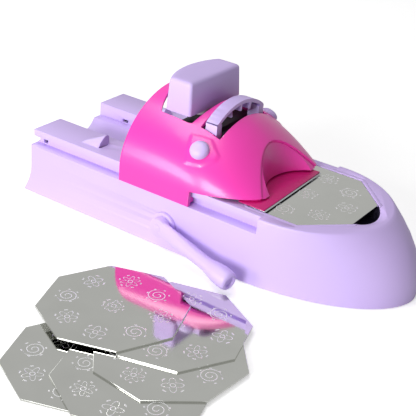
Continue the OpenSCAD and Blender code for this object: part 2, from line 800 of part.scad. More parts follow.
module press_block() color(lilac) {
    top = block_z + block_h;
    difference() {
        hull() {
            block_layer(block_z, 0);
            block_layer(top - 2, 0.9);
            block_layer(top - 1, 1.3);
            block_layer(top - 0.4, 2.1);
            block_layer(top - eps, 3.4);
        }
        difference() {
            hull() {
                block_layer(block_z - 1, block_wall);
                block_layer(top - block_wall - 2, block_wall + 0.8);
            }
            both_sides() rod_z(press_at, stem_screw_y, 2.8, flange_z + flange_t, top);
        }
        both_sides() rod_z(press_at, stem_screw_y, 1.1, 0, flange_z + flange_t + 4);
    }
}

module press_stem() color([0.9, 0.9, 0.92]) difference() {
    union() {
        rod_z(press_at, 0, stem_r, holder_z + 0.8, flange_z + flange_t);
        box([press_at - 5, -flange_len / 2, flange_z],
            [press_at + 5, flange_len / 2, flange_z + flange_t]);
    }
    both_sides() rod_z(press_at, stem_screw_y, 1.1, 0, far);
}

module stem_screws() color(steel) both_sides() {
    rod_z(press_at, stem_screw_y, 2, flange_z - 1.2, flange_z);
    rod_z(press_at, stem_screw_y, 1.1, flange_z, flange_z + flange_t + 3.4);
}

module pad_holder() color(pink) difference() {
    rod_z(press_at, 0, holder_r, holder_z, holder_z + holder_t);
    rod_z(press_at, 0, stem_r, holder_z + 0.8, far);
}

// Pad with a face that is gently crowned, so that it rolls over a nail
module stamp_pad() color([0.93, 0.93, 0.95]) translate([fs(press_at), 0, pad_z])
    intersection() {
        cylinder(r = pad_r, h = pad_t);
        translate([0, 0, 40]) sphere(r = 40, $fn = 128);
    }

module press_spring() color(steel) translate([fs(press_at), 0, 0])
    coil(stem_r + 1.6, 1.2, guide_top + eps, flange_z - eps, 4);

// Arc in the YZ plane between two radii, from x0 to x1
module arch_band(outer, inner, x0, x1) {
    translate([fs(x0), 0, arch_top_z - arch_r]) rotate([90, 0, 90]) linear_extrude(x1 - x0)
        intersection() {
            difference() {
                circle(r = outer, $fn = 200);
                circle(r = inner, $fn = 200);
            }
            translate([-arch_half, 0]) square([arch_w, far]);
        }
}

module arch_handle() color(lilac) difference() {
    union() {
        arch_band(arch_r, arch_r - arch_skin, arch_rear, arch_front);
        arch_band(arch_r, arch_r - arch_depth, arch_rear, arch_rear + 1.8);
        for (a = [-16:16:16]) translate([fs(arch_rear), 0, arch_top_z - arch_r]) rotate([a, 0, 0])
            translate([0, -0.6, arch_r - arch_depth]) cube([arch_t - 0.3, 1.2, arch_depth - 1]);
        both_sides() {
            box([arch_rear, ear_in, foot_cut_z],
                [arch_front, arch_half, arch_end_z - 0.8]);
            box([arch_rear, ear_in, pivot_z], [arch_front, ear_out, foot_cut_z + 1]);
            rod_y(pivot_at, pivot_z, ear_r, ear_in, ear_out);
        }
    }
    rod_y(pivot_at, pivot_z, pivot_r + run_gap, -far / 2, far / 2);
}

module tongue_plan(front_out = 0) {
    neck = tongue_wide - tongue_taper;
    polygon([[fs(tongue_rear), -ear_in], [fs(neck), -ear_in],
             [fs(tongue_wide), tongue_near[1]], [fs(tongue_near[0] + front_out), tongue_near[1]],
             [fs(tongue_far[0] + front_out), tongue_far[1]], [fs(tongue_wide), tongue_far[1]],
             [fs(neck), ear_in], [fs(tongue_rear), ear_in]]);
}

module scraper_yoke() color(pink) difference() {
    arm_end = tongue_wide - tongue_taper;
    union() {
        translate([0, 0, tongue_z]) linear_extrude(tongue_t) tongue_plan();
        both_sides() {
            translate([0, ear_in, 0]) rotate([90, 0, 0]) linear_extrude(arm_t)
                polygon([[fs(pivot_at - arm_half), pivot_z - arm_rise],
                         [fs(pivot_at + arm_half), pivot_z + arm_rise],
                         [fs(arm_end), tongue_z + tongue_t + 1], [fs(arm_end), tongue_z],
                         [fs(tongue_rear), tongue_z]]);
            rod_y(pivot_at, pivot_z, ear_r, ear_in - arm_t, ear_in);
        }
    }
    rod_y(pivot_at, pivot_z, pivot_r + run_gap, -far / 2, far / 2);
}

module scraper_blade() color(steel) translate([0, 0, blade_z]) linear_extrude(blade_t)
    intersection() {
        tongue_plan(blade_out);
        translate([fs(blade_rear), -far / 2]) square([far, far]);
    }

module scraper_spring() color(steel)
    translate([fs(pivot_at), ear_in - arm_t - 0.1, pivot_z]) rotate([90, 0, 0])
    coil(pivot_r + 1.1, 0.7, 0, 4.2, 3);

module spare_plate(i) design_plate(pile[i][0], pile[i][1], pile[i][2], i * plate_t);

module spare_plate_1() spare_plate(0);
module spare_plate_2() spare_plate(1);
module spare_plate_3() spare_plate(2);
module spare_plate_4() spare_plate(3);
module spare_plate_5() spare_plate(4);

base_shell();
deck();
plate_bed();
bed_plate();
bottom_cover();
cover_screws();
grip_strips();
guide_posts();
lever_bush();
finger_rest();
rest_spring();
lever_shaft();
lift_cam();
side_lever();
lever_screw();
hood();
mouth_panel();
carriage_frame();
hood_screws();
screw_caps();
stem_bush();
pivot_pins();
press_block();
press_stem();
stem_screws();
pad_holder();
stamp_pad();
press_spring();
arch_handle();
scraper_yoke();
scraper_blade();
scraper_spring();
spare_plate_1();
spare_plate_2();
spare_plate_3();
spare_plate_4();
spare_plate_5();
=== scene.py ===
# %% [markdown]
# # Nail stamping machine
# A boat-shaped table unit for printing nails. A finger lies in the trough at the stern, a pink
# dome slides along the deck and carries a press with a rubber pad, and a scraper under the
# dome's mouth wipes the engraved plate in the bow. Five more plates lie beside the machine.
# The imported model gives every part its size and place. These cells add what a moulder, a plater
# and a photographer would add: soft edges, smooth shells, plastic, steel and studio light.

# %% Load the frame
import contextlib
import json
import math

import bmesh
import bpy
from mathutils import Matrix, Vector


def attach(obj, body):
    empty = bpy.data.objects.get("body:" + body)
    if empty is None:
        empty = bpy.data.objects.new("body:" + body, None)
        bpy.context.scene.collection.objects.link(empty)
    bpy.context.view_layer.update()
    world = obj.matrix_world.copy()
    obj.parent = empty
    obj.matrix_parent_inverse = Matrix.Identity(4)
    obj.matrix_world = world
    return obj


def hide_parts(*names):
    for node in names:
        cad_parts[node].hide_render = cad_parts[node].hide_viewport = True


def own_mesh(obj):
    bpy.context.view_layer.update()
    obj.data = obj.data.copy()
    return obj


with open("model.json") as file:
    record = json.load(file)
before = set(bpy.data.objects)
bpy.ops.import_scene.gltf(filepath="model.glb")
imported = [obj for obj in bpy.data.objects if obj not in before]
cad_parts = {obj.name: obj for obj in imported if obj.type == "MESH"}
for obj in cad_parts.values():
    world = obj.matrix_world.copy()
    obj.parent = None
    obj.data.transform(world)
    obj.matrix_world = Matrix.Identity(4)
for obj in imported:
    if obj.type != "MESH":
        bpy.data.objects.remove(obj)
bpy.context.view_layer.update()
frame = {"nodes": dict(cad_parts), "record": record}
nodes = frame["nodes"]
bpy.ops.object.select_all(action="DESELECT")
MM = 0.001  # a millimetre in the frame's metres
STERN = 99.0  # from the stern face of the deck to the origin, in millimetres


def linked(name, data):
    """A new object of the scene that holds that mesh, camera or lamp."""
    made = bpy.data.objects.new(name, data)
    bpy.context.scene.collection.objects.link(made)
    return made


print("parts in the frame:", len(nodes))

# %% [markdown]
# ## Camera
# A long lens from the front left corner, a little rolled, as the machine was photographed. The
# three axes of the camera are worked out from its azimuth, elevation and roll, and written
# straight into its matrix, so nothing has to be aimed by eye.

# %% Camera
AZIMUTH, ELEVATION, ROLL = (math.radians(a) for a in (32.94, 27.41, 4.945))
back = Vector((math.sin(AZIMUTH) * math.cos(ELEVATION),
               -math.cos(AZIMUTH) * math.cos(ELEVATION), math.sin(ELEVATION)))
level = Vector((math.cos(AZIMUTH), math.sin(AZIMUTH), 0))
rise = back.cross(level)
across = level * math.cos(ROLL) + rise * math.sin(ROLL)
upward = rise * math.cos(ROLL) - level * math.sin(ROLL)
camera = linked("camera", bpy.data.cameras.new("camera"))
camera.data.sensor_width, camera.data.lens = 36.0, 87.09
camera.matrix_world = (Matrix.Translation((0.2376, -0.3849, 0.2440))
                       @ Matrix((across, upward, back)).transposed().to_4x4())
bpy.context.scene.camera = camera
bpy.context.scene.view_settings.view_transform = "Standard"
print("camera looks along", tuple(round(v, 3) for v in -back))

# %% [markdown]
# ## Shader expressions
# A shader is arithmetic on what the surface knows: its place, its slope, a cloud of noise. One
# small class wraps a socket, so that `1 - mask * 0.5` adds its Math nodes by itself, and one
# method adds any other node: its settings first, then the values or links of its sockets.


# %% Socket and finish classes
class Sock:
    """A shader socket that can be used like a number."""

    def __init__(self, finish, node, out):
        self.finish, self.node, self.socket = finish, node, node.outputs[out]

    def other(self, out):
        return Sock(self.finish, self.node, out)

    def math(self, operation, other=None, swapped=False):
        values = [self] if other is None else [other, self] if swapped else [self, other]
        return self.finish.add("Math", {"operation": operation}, dict(enumerate(values)))

    def __add__(self, other):
        return self.math("ADD", other)

    def __sub__(self, other):
        return self.math("SUBTRACT", other)

    def __rsub__(self, other):
        return self.math("SUBTRACT", other, swapped=True)

    def __mul__(self, other):
        return self.math("MULTIPLY", other)

    def __truediv__(self, other):
        return self.math("DIVIDE", other)

    def __lt__(self, other):
        return self.math("LESS_THAN", other)

    def __gt__(self, other):
        return self.math("GREATER_THAN", other)

    def __abs__(self):
        return self.math("ABSOLUTE")


class Finish:
    """A material, or the world, and the one method that adds nodes to it."""

    def __init__(self, owner, name=None):
        self.owner = owner if name is None else owner.new(name)
        self.owner.use_nodes = True
        self.tree = self.owner.node_tree
        self.tree.nodes.clear()

    def add(self, kind, settings=None, inputs=None, out=0):
        node = self.tree.nodes.new("ShaderNode" + kind)
        for key, value in (settings or {}).items():
            if key == "stops":
                for stop, (place, colour) in zip(node.color_ramp.elements, value):
                    stop.position, stop.color = place, colour
            else:
                setattr(node, key, value)
        for key, value in (inputs or {}).items():
            if isinstance(value, Sock):
                self.tree.links.new(value.socket, node.inputs[key])
            else:
                node.inputs[key].default_value = value
        return Sock(self, node, out) if node.outputs else None

    def mix(self, share, first, second):
        return self.add("Mix", {"data_type": "RGBA"}, {0: share, 6: first, 7: second}, out=2)

    def noise(self, place, scale, detail):
        return self.add("TexNoise", None, {"Vector": place, "Scale": scale, "Detail": detail})

    def surface(self, **inputs):
        named = {key.replace("_", " "): value for key, value in inputs.items()}
        self.add("OutputMaterial", None, {"Surface": self.add("BsdfPrincipled", None, named)})
        return self.owner


def rgb(red, green, blue):
    """A colour as a picture shows it, 0 to 255, turned into the linear values of a shader."""
    def linear(v):
        return v / 12.92 if v <= 0.04045 else ((v + 0.055) / 1.055) ** 2.4
    return tuple(linear(v / 255) for v in (red, green, blue)) + (1.0,)


print("picture grey 128 is", round(rgb(128, 128, 128)[0], 3), "to a shader")

# %% [markdown]
# ## Floor, world and lamps
# The machine stands on a white sweep. What the camera, or a mirror, sees of the world is plain
# white, through the Light Path node, while the light on the object stays soft and moderate. The
# key lamp is large and low on the near side, where the plastic is brightest, a small lamp
# beside it gives the dome its soft glint, and the bow side is left in shade.

# %% Studio
world = Finish(bpy.data.worlds.new("studio"))
bpy.context.scene.world = world.owner
WHITE_LIGHT = (1.0, 1.0, 1.0, 1.0)
WORLD_LIGHT, WORLD_IN_GLOSS = 0.15, 0.62
FLOOR_GLOW, FLOOR_IN_GLOSS, FLOOR_GAP = 0.5, 0.2, 0.05 * MM


def seen_share(finish, in_gloss):
    """1 for what the camera sees, a share for what a gloss mirrors, 0 for all other light."""
    direct = finish.add("LightPath", out="Is Camera Ray")
    return (direct.math("MAXIMUM", direct.other("Is Transmission Ray"))
            .math("MAXIMUM", direct.other("Is Glossy Ray") * in_gloss))


strength = seen_share(world, WORLD_IN_GLOSS).math("MAXIMUM", WORLD_LIGHT)
world.add("OutputWorld", None, {"Surface": world.add(
    "Background", None, {"Color": WHITE_LIGHT, "Strength": strength})})

bpy.ops.mesh.primitive_plane_add(size=6.0, location=(0.0, 0.0, -FLOOR_GAP))
floor = bpy.context.object
floor.name = "floor"
sweep = Finish(bpy.data.materials, "white_sweep")
paper = sweep.add("BsdfDiffuse", None, {"Color": rgb(236, 236, 236)})
glow = sweep.add("Emission", None, {
    "Color": WHITE_LIGHT, "Strength": seen_share(sweep, FLOOR_IN_GLOSS) * FLOOR_GLOW})
sweep.add("OutputMaterial", None, {"Surface": sweep.add("AddShader", None, {0: paper, 1: glow})})
floor.data.materials.append(sweep.owner)

CENTRE = Vector((0.02, -0.03, 0.03))
# name, side of the object, distance, size and power of each square lamp
for name, side, distance, size, power in (
    ("key", (0.02, -0.93, 0.30), 1.3, 0.50, 10.6),
    ("top", (-0.30, -0.10, 1.00), 1.5, 0.80, 9.0),
    ("rim", (-0.95, 0.25, 0.40), 1.4, 0.60, 2.0),
    ("glint", (-0.44, -0.87, 0.22), 1.3, 0.36, 4.6),
):
    lamp = linked(name, bpy.data.lights.new(name, "AREA"))
    direction = Vector(side).normalized()
    lamp.data.energy, lamp.data.size = power, size
    lamp.location = CENTRE + direction * distance
    lamp.rotation_euler = direction.to_track_quat("Z", "Y").to_euler()

# %% [markdown]
# ## Plastics
# The casing is satin lilac and the dome glossy pink. The scraper is a deeper pink, painted shade
# for the shadow in the dome's mouth, and the carriage under the dome is charcoal, painted shade
# for the dark inside of the dome. The press stem is white.
# Moulded plastic is never quite even: the colour drifts a little over a hand's width, the tool
# leaves a fine grit, and handling leaves hairline scuffs that only show in the gloss. Each of
# those is one noise.


# %% Plastic finishes
def plastic(name, colour, shade, roughness, grit, **extra):
    """A plastic that drifts between two near colours. The grit is the strength of its bumps."""
    made = Finish(bpy.data.materials, name)
    place = made.add("TexCoord", out="Object")
    cloud = made.noise(place, 22.0, 2.0)
    grain = made.noise(place, 2400.0, 2.0)
    drawn = made.add("Mapping", None, {"Vector": place, "Scale": (1.0, 14.0, 5.0),
                                       "Rotation": (0.3, 0.2, 0.5)})
    scuff = made.noise(drawn, 170.0, 6.0)
    worn = (scuff - 0.60).math("MAXIMUM", 0.0) * 1.6
    normal = made.add("Bump", None, {"Strength": grit, "Distance": 0.00004, "Height": grain})
    return made.surface(Base_Color=made.mix(cloud, colour, shade), Normal=normal,
                        Roughness=cloud * 0.05 + worn + roughness, **extra)


LILAC = plastic("lilac_plastic", rgb(217, 194, 250), rgb(212, 188, 247), 0.38, 0.22)
PINK = plastic("pink_plastic", rgb(250, 56, 182), rgb(246, 50, 175), 0.36, 0.05,
               Coat_Weight=0.6, Coat_Roughness=0.19)
# painted shade: a darker copy of the pink for the scraper, which lies in the shadow of the dome's
# mouth
SHADED_PINK = plastic("pink_painted_shade", rgb(205, 12, 118), rgb(196, 10, 110), 0.4, 0.05)
# painted shade: a near black for the walls and floor of the well in front of the plate
PAINTED_SHADE = plastic("painted_well_shade", rgb(34, 24, 56), rgb(28, 20, 48), 0.7, 0.1)
WHITE = plastic("white_plastic", rgb(236, 236, 240), rgb(230, 230, 236), 0.42, 0.3)
# painted shade: the carriage is dark so that the inside of the dome looks shadowed
CARRIAGE_SHADE = plastic("charcoal_plastic", rgb(46, 46, 50), rgb(40, 40, 44), 0.5, 0.4)
print("plastics:", [made.name for made in (LILAC, PINK, SHADED_PINK, PAINTED_SHADE, WHITE, CARRIAGE_SHADE)])

# %% [markdown]
# ## Metals and rubber
# Pins, posts and screws are nickel plated, the springs are bright drawn wire, and the scraper's
# blade is ground. They are one recipe with other numbers: a metal whose roughness follows fine
# lines. The grip strips and the pad are matte, with a fine tooth that a Bump node gives.


# %% Metal and rubber finishes
def metal(name, colour, roughness, lines, depth):
    """A metal with fine lines: how dense they are along each axis, and how deep they bump."""
    made = Finish(bpy.data.materials, name)
    place = made.add("TexCoord", out="Object")
    drawn = made.add("Mapping", None, {"Vector": place, "Scale": lines})
    streak = made.noise(drawn, 900.0, 4.0)
    normal = made.add("Bump", None, {"Strength": depth, "Distance": 0.00002, "Height": streak})
    return made.surface(Base_Color=colour, Metallic=1.0, Normal=normal,
                        Roughness=streak * 0.2 + roughness)


def rubber(name, colour, roughness, tooth):
    made = Finish(bpy.data.materials, name)
    place = made.add("TexCoord", out="Object")
    grain = made.noise(place, 1500.0, 3.0)
    normal = made.add("Bump", None, {"Strength": tooth, "Distance": 0.0001, "Height": grain})
    return made.surface(Base_Color=colour, Normal=normal, Roughness=grain * 0.1 + roughness)


PLATED = metal("plated_steel", rgb(186, 188, 192), 0.16, (1.0, 1.0, 1.0), 0.15)
WIRE = metal("spring_wire", rgb(176, 178, 182), 0.22, (1.0, 1.0, 0.2), 0.3)
BLADE = metal("blade_steel", rgb(196, 198, 204), 0.14, (0.1, 2.0, 1.0), 0.2)
GRIP = rubber("grip_rubber", rgb(58, 58, 64), 0.7, 0.6)
PAD = rubber("pad_rubber", rgb(238, 236, 242), 0.38, 0.1)
print("metals and rubbers:", [made.name for made in (PLATED, WIRE, BLADE, GRIP, PAD)])

# %% [markdown]
# ## Engraved plates
# Each steel plate carries eight small ornaments, one near each side, and one in the middle. They
# are drawn by the shader, on the plate's own flat coordinates in millimetres. The angle round
# the plate is folded into eight equal sectors, and each sector gets a number from 0 to 1 that
# says whether it shows a blossom or a swirl, and how many petals or beads. So one set of
# formulas gives eight different ornaments. The lines are etched, so they are rough and pale, and
# a Bump node cuts them in.

# %% Plate finish
SECTOR = math.tau / 8
ORNAMENT_AT, MIDDLE = 21.4, 7.0  # reach of the outer ornaments, and of the one in the middle
SPREAD, BLOSSOMS = 0.618, 0.62  # step between the sectors' numbers, and share with a blossom
PETAL_R, PETAL_WAVE, HEART_R = 3.2, 1.25, 1.05
SWIRL_IN, SWIRL_OUT, SWIRL_PITCH, SWIRL_LINE = 0.7, 4.6, 2.0, 0.1
BEADS_R, BEAD, BEAD_SHARE, LINE = 5.0, 0.32, -0.75, 0.2


def engraved(name, centre, turn, seed):
    """Polished steel with the ornaments of a plate about that centre, turned like the plate."""
    made = Finish(bpy.data.materials, name)
    place = made.add("TexCoord", out="Object")
    flat = made.add("Mapping", {"vector_type": "TEXTURE"}, {
        "Vector": place, "Location": centre, "Rotation": (0.0, 0.0, turn),
        "Scale": (MM, MM, MM)})
    axes = made.add("SeparateXYZ", None, {0: flat}, out="X")
    x, y = axes, axes.other("Y")
    reach = (x * x + y * y).math("SQRT")
    angle = y.math("ARCTAN2", x)
    sector = (angle / SECTOR).math("ROUND")
    kind = (sector * SPREAD + seed).math("FRACT")
    within = angle - sector * SECTOR
    along = reach * within.math("COSINE") - ORNAMENT_AT
    side = reach * within.math("SINE")
    middle = reach < MIDDLE
    away = 1 - middle
    along = along * away + x * middle
    side = side * away + y * middle
    ring = (along * along + side * side).math("SQRT")
    bearing = side.math("ARCTAN2", along)
    petals = (kind * 4.0).math("FLOOR") + 4.0
    wave = (bearing * petals).math("COSINE")
    blossom = (kind < BLOSSOMS) * (abs(ring - (wave * PETAL_WAVE + PETAL_R)) < LINE)
    heart = (kind < BLOSSOMS) * (abs(ring - HEART_R) < LINE)
    winding = (ring * (1 / SWIRL_PITCH) + bearing * (1 / math.tau)).math("FRACT")
    swirl = ((kind > BLOSSOMS) * (abs(winding - 0.5) < SWIRL_LINE)
             * (ring > SWIRL_IN) * (ring < SWIRL_OUT))
    beads = (abs(ring - BEADS_R) < BEAD) * (wave < BEAD_SHARE)
    lines = (blossom + heart + swirl + beads).math("MINIMUM", 1.0)
    upside = made.add("SeparateXYZ", None, {0: made.add("NewGeometry", out="Normal")}, out="Z")
    lines = lines * (upside > 0.6)
    drawn = made.add("Mapping", None, {"Vector": flat, "Scale": (0.02, 1.0, 1.0)})
    brush = made.noise(drawn, 5.0, 5.0)
    smear = made.noise(place, 60.0, 3.0)
    polish = made.mix(smear, rgb(214, 215, 210), rgb(202, 203, 198))
    normal = made.add("Bump", None, {"Strength": 0.8, "Distance": 0.00012,
                                     "Height": brush * 0.02 - lines})
    return made.surface(
        Base_Color=made.mix(lines, polish, rgb(238, 238, 240)), Metallic=1 - lines * 0.5,
        Roughness=lines * 0.34 + smear * 0.04 + brush * 0.03 + 0.02, Normal=normal)


finishes = {
    "lilac_plastic": LILAC, "pink_plastic": PINK, "white_plastic": WHITE,
    "charcoal_plastic": CARRIAGE_SHADE, "plated_steel": PLATED, "spring_wire": WIRE,
    "blade_steel": BLADE, "grip_rubber": GRIP, "pad_rubber": PAD, "polished_steel": PLATED,
}
slot_of = {part["node"]: part["material_slot"] for part in frame["record"]["subparts"]}
for name, node in nodes.items():
    node.data.materials.clear()
    node.data.materials.append(finishes[slot_of[name]])
print("finishes:", len(finishes))

# %% [markdown]
# ## Tools of the bench
# A few helpers are used for every piece. One makes an object the only selected one, one selects
# faces, edges or corners by a rule on their place, one turns a profile on a lathe with Spin, and
# others make a box, cut with a boolean or round the sharp edges. The last finishes a piece: it
# applies its place, smooths the shading, hands over the finish, and says which moving body
# carries it and which plain parts it stands for. Places are counted from the stern, as on a
# drawing of the machine.


# %% Modelling helpers
def only(piece):
    if bpy.context.object and bpy.context.object.mode != "OBJECT":
        bpy.ops.object.mode_set(mode="OBJECT")
    bpy.ops.object.select_all(action="DESELECT")
    piece.select_set(True)
    bpy.context.view_layer.objects.active = piece
    return piece


def newest(name):
    """The object that was just added: named, and the only one selected."""
    piece = only(bpy.context.object)
    piece.name = name
    return piece


@contextlib.contextmanager
def editing():
    """Runs what stands under it in edit mode."""
    bpy.ops.object.mode_set(mode="EDIT")
    yield
    bpy.ops.object.mode_set(mode="OBJECT")


def pick(kind, rule):
    """In edit mode, selects the faces, edges or verts whose element passes the rule."""
    bpy.ops.mesh.select_mode(type={"faces": "FACE", "edges": "EDGE", "verts": "VERT"}[kind])
    bpy.ops.mesh.select_all(action="DESELECT")
    mesh = bmesh.from_edit_mesh(bpy.context.object.data)
    chosen = [element for element in getattr(mesh, kind) if rule(element)]
    for element in chosen:
        element.select_set(True)
    bmesh.update_edit_mesh(bpy.context.object.data)


def spot(d, y, z):
    """A place as a matrix, in millimetres: distance from the stern, across and up."""
    return Matrix.Translation(((d - STERN) * MM, y * MM, z * MM))


ACROSS = Matrix.Rotation(math.radians(-90), 4, "X")  # lays a turned part across the machine


def smooth(share):
    """An even rise from 0 to 1 that starts and ends level."""
    return share * share * (3 - 2 * share)


def tidy_faces():
    """Joins corners that coincide and turns all faces outward."""
    bpy.ops.mesh.select_all(action="SELECT")
    bpy.ops.mesh.remove_doubles(threshold=0.000002)
    bpy.ops.mesh.normals_make_consistent(inside=False)


def lathe(name, profile, steps=64):
    """Turns a profile of (radius, height) points, in millimetres, about the Z axis."""
    bpy.ops.mesh.primitive_plane_add(size=MM)
    piece = newest(name)
    with editing():
        bpy.ops.mesh.select_mode(type="VERT")
        bpy.ops.mesh.select_all(action="SELECT")
        bpy.ops.mesh.merge(type="CENTER")
        here = Vector((0.0, 0.0, 0.0))
        for count, (radius, height) in enumerate(profile):
            there = Vector((radius * MM, 0.0, height * MM))
            if count == 0:
                bpy.ops.transform.translate(value=there)
            else:
                bpy.ops.mesh.extrude_vertices_move(TRANSFORM_OT_translate={"value": there - here})
            here = there
        bpy.ops.mesh.select_all(action="SELECT")
        bpy.ops.mesh.spin(steps=steps, angle=math.tau, center=(0.0, 0.0, 0.0),
                          axis=(0.0, 0.0, 1.0))
        tidy_faces()
    return piece


def cut(piece, tool, operation="DIFFERENCE"):
    """Cuts one piece with another, or joins them, and takes the tool away."""
    only(piece)
    change = piece.modifiers.new("cut", "BOOLEAN")
    change.operation, change.object, change.solver = operation, tool, "EXACT"
    bpy.ops.object.modifier_apply(modifier=change.name)
    bpy.data.objects.remove(tool)
    return piece


def soften(piece, width, segments=2, angle=40):
    """Rounds the sharp edges of a piece with a Bevel modifier."""
    only(piece)
    change = piece.modifiers.new("soften", "BEVEL")
    change.width, change.segments = width * MM, segments
    change.limit_method, change.angle_limit = "ANGLE", math.radians(angle)
    bpy.ops.object.modifier_apply(modifier=change.name)


def settle(piece, body, finish, replaced=(), crease=38):
    """Finishes a piece. Edges sharper than the crease, in degrees, stay sharp."""
    only(piece)
    bpy.ops.object.transform_apply(location=True, rotation=True, scale=True)
    bpy.ops.object.shade_smooth_by_angle(angle=math.radians(crease))
    piece.data.name = piece.name
    piece.data.materials.clear()
    piece.data.materials.append(finish)
    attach(piece, body)
    if replaced:
        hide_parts(*replaced)
    print(f"{piece.name}: {len(piece.data.polygons)} faces on {body}")


def block(name, low, high):
    """A box between two corners, in millimetres, x counted from the stern."""
    size = [(b - a) * MM for a, b in zip(low, high)]
    middle = [(a + b) / 2 * MM for a, b in zip(low, high)]
    bpy.ops.mesh.primitive_cube_add(size=1.0, location=(middle[0] - STERN * MM, *middle[1:]))
    piece = newest(name)
    piece.scale = size
    bpy.ops.object.transform_apply(location=True, rotation=False, scale=True)
    return piece


def drum(name, d, y, radius, low, high, steps=96):
    """An upright cylinder between two heights, in millimetres."""
    bpy.ops.mesh.primitive_cylinder_add(
        vertices=steps, radius=radius * MM, depth=(high - low) * MM,
        location=spot(d, y, (low + high) / 2).translation)
    return newest(name)


# %% [markdown]
# ## The dome
# The dome is the eye-catcher: a glossy shell whose cross-section is a little more pointed than an
# ellipse, and lower and narrower towards its slanted mouth. A grid is laid over it as a sheet:
# its columns run from the rear edge to the mouth and its rows from one lower edge over the crest
# to the other, and each corner is moved to where the section says. So the mouth and the lower
# edge are real edge loops, and the gloss has no kinks. A faint raised pad surrounds each cap.

# %% Dome skin
REAR, SKIRT_END, MOUTH = 59.6, 101.3, 134.3
SIDE_Z, EDGE_Z, SKIRT_Z, EDGE_RISE = 33.5, 34.8, 26.8, 2.3
MOUTH_LEAN = math.radians(38.0)
WIDEST, NARROWING, NARROW_FROM, NARROW_RUN = 39.5, 10.6, 97.2, 36
HIGHEST, FALL, FALL_FROM, FALL_RUN, FALL_POWER = 67.7, 17.7, 61.2, 63, 3.09
POWER, POWER_LOSS, POWER_RUN = 1.9, 0.13, 72
# outline of the pad round a cap: distance from the stern and angle round the dome
CAP_PAD = ((92.0, 132.9), (101.3, 129.3), (107.9, 136.7),
           (107.9, 141.3), (102.6, 151.0), (95.5, 153.7))
PAD_LIFT, PAD_MARGIN, PAD_SLOPE = 0.45, 1.2, 1.6


def dome_half(d):
    """Half width of the dome's section at a distance from the stern."""
    return WIDEST - NARROWING * (max(d - NARROW_FROM, 0.0) / NARROW_RUN) ** 2


def dome_top(d):
    """Height of the section's crest."""
    return HIGHEST - FALL * (max(d - FALL_FROM, 0.0) / FALL_RUN) ** FALL_POWER


def dome_power(d):
    """Power of the section's sine and cosine: 1 is an ellipse, and more is more pointed."""
    return 2 / (POWER - POWER_LOSS * (d - REAR) / POWER_RUN)


def dome_point(d, turn):
    """Point of the section at an angle: 0 is the far side, a quarter turn the crest."""
    side, height = math.cos(turn), abs(math.sin(turn))
    return Vector((d - STERN, math.copysign(dome_half(d) * abs(side) ** dome_power(d), side),
                   SIDE_Z + (dome_top(d) - SIDE_Z) * height ** dome_power(d)))


def dome_normal(d, turn, step=0.01):
    """Direction that stands square to the dome at a point."""
    ahead = dome_point(d, turn + step) - dome_point(d, turn - step)
    along = dome_point(d + 0.1, turn) - dome_point(d - 0.1, turn)
    return ahead.cross(along).normalized()


def dome_edge(d):
    """The turn at which the dome's section starts, over its lower edge."""
    edge = EDGE_Z + max(d - SKIRT_END, 0.0) * EDGE_RISE / (MOUTH - SKIRT_END)
    return math.asin(((edge - SIDE_Z) / (dome_top(d) - SIDE_Z)) ** (1 / dome_power(d)))


def dome_place(share, row):
    """Where a corner of the sheet goes: share 0 at the rear to 1 at the mouth, row 0 to 1."""
    nearest, front = SKIRT_END, MOUTH
    for _ in range(30):
        d = (nearest + front) / 2
        start = dome_edge(d)
        height = dome_point(d, start + row * (math.pi - 2 * start)).z
        if d < MOUTH - (height - EDGE_Z) * math.tan(MOUTH_LEAN):
            nearest = d
        else:
            front = d
    d = REAR + share * (front - REAR)
    start = dome_edge(d)
    return d, start + row * (math.pi - 2 * start)


def pad_lift(d, turn):
    """Height of the raised pad round a cap, the same on both sides."""
    across = math.degrees(max(turn, math.pi - turn))
    inside = 99.0
    for (d0, t0), (d1, t1) in zip(CAP_PAD, CAP_PAD[1:] + CAP_PAD[:1]):
        length = math.hypot(d1 - d0, t1 - t0)
        inside = min(inside, ((d1 - d0) * (across - t0) - (t1 - t0) * (d - d0)) / length)
    return PAD_LIFT * smooth(min(max((inside + PAD_MARGIN) / PAD_SLOPE, 0.0), 1.0))


COLUMNS, ROWS, JOINT = 84, 150, 48  # the skirts end at the joint column
JOINT_SHARE = (SKIRT_END - REAR) / (MOUTH - REAR)
bpy.ops.mesh.primitive_grid_add(x_subdivisions=COLUMNS, y_subdivisions=ROWS, size=2.0)
dome = newest("dome")
for corner in dome.data.vertices:
    column = round((corner.co.x + 1) / 2 * COLUMNS)
    row = (corner.co.y + 1) / 2
    if column <= JOINT:
        share = JOINT_SHARE * column / JOINT
    else:
        share = JOINT_SHARE + (1 - JOINT_SHARE) * (column - JOINT) / (COLUMNS - JOINT)
    d, turn = dome_place(share, row)
    corner.co = (dome_point(d, turn) + dome_normal(d, turn) * pad_lift(d, turn)) * MM
print("dome skin:", len(dome.data.vertices), "corners")

# %% [markdown]
# The skirts are the sheet's lower edge over the track, extruded down past the deck's lips. Then
# the sheet becomes a wall with Solidify, and the flat rims get a small round with Bevel, which
# works on just those edges because it takes only edges sharper than 60 degrees.

# %% Dome wall
WALL, SKIRT_STEPS = 2.0, 4
skirt_end = (SKIRT_END - STERN + 0.01) * MM


def over_skirt(edge):
    """Whether an edge of the sheet is its lower edge over the track."""
    first, second = (corner.co for corner in edge.verts)
    return (edge.is_boundary and max(first.z, second.z) < (EDGE_Z + 0.05) * MM
            and max(first.x, second.x) < skirt_end and abs(first.x - second.x) > 0.1 * MM)


with editing():
    pick("edges", over_skirt)
    for _ in range(SKIRT_STEPS):
        bpy.ops.mesh.extrude_edges_move(
            TRANSFORM_OT_translate={"value": (0.0, 0.0, (SKIRT_Z - EDGE_Z) / SKIRT_STEPS * MM)})
    tidy_faces()
wall = dome.modifiers.new("wall", "SOLIDIFY")
wall.thickness, wall.offset, wall.use_even_offset = WALL * MM, -1.0, True
bpy.ops.object.modifier_apply(modifier=wall.name)
soften(dome, 0.35, 2, 60)

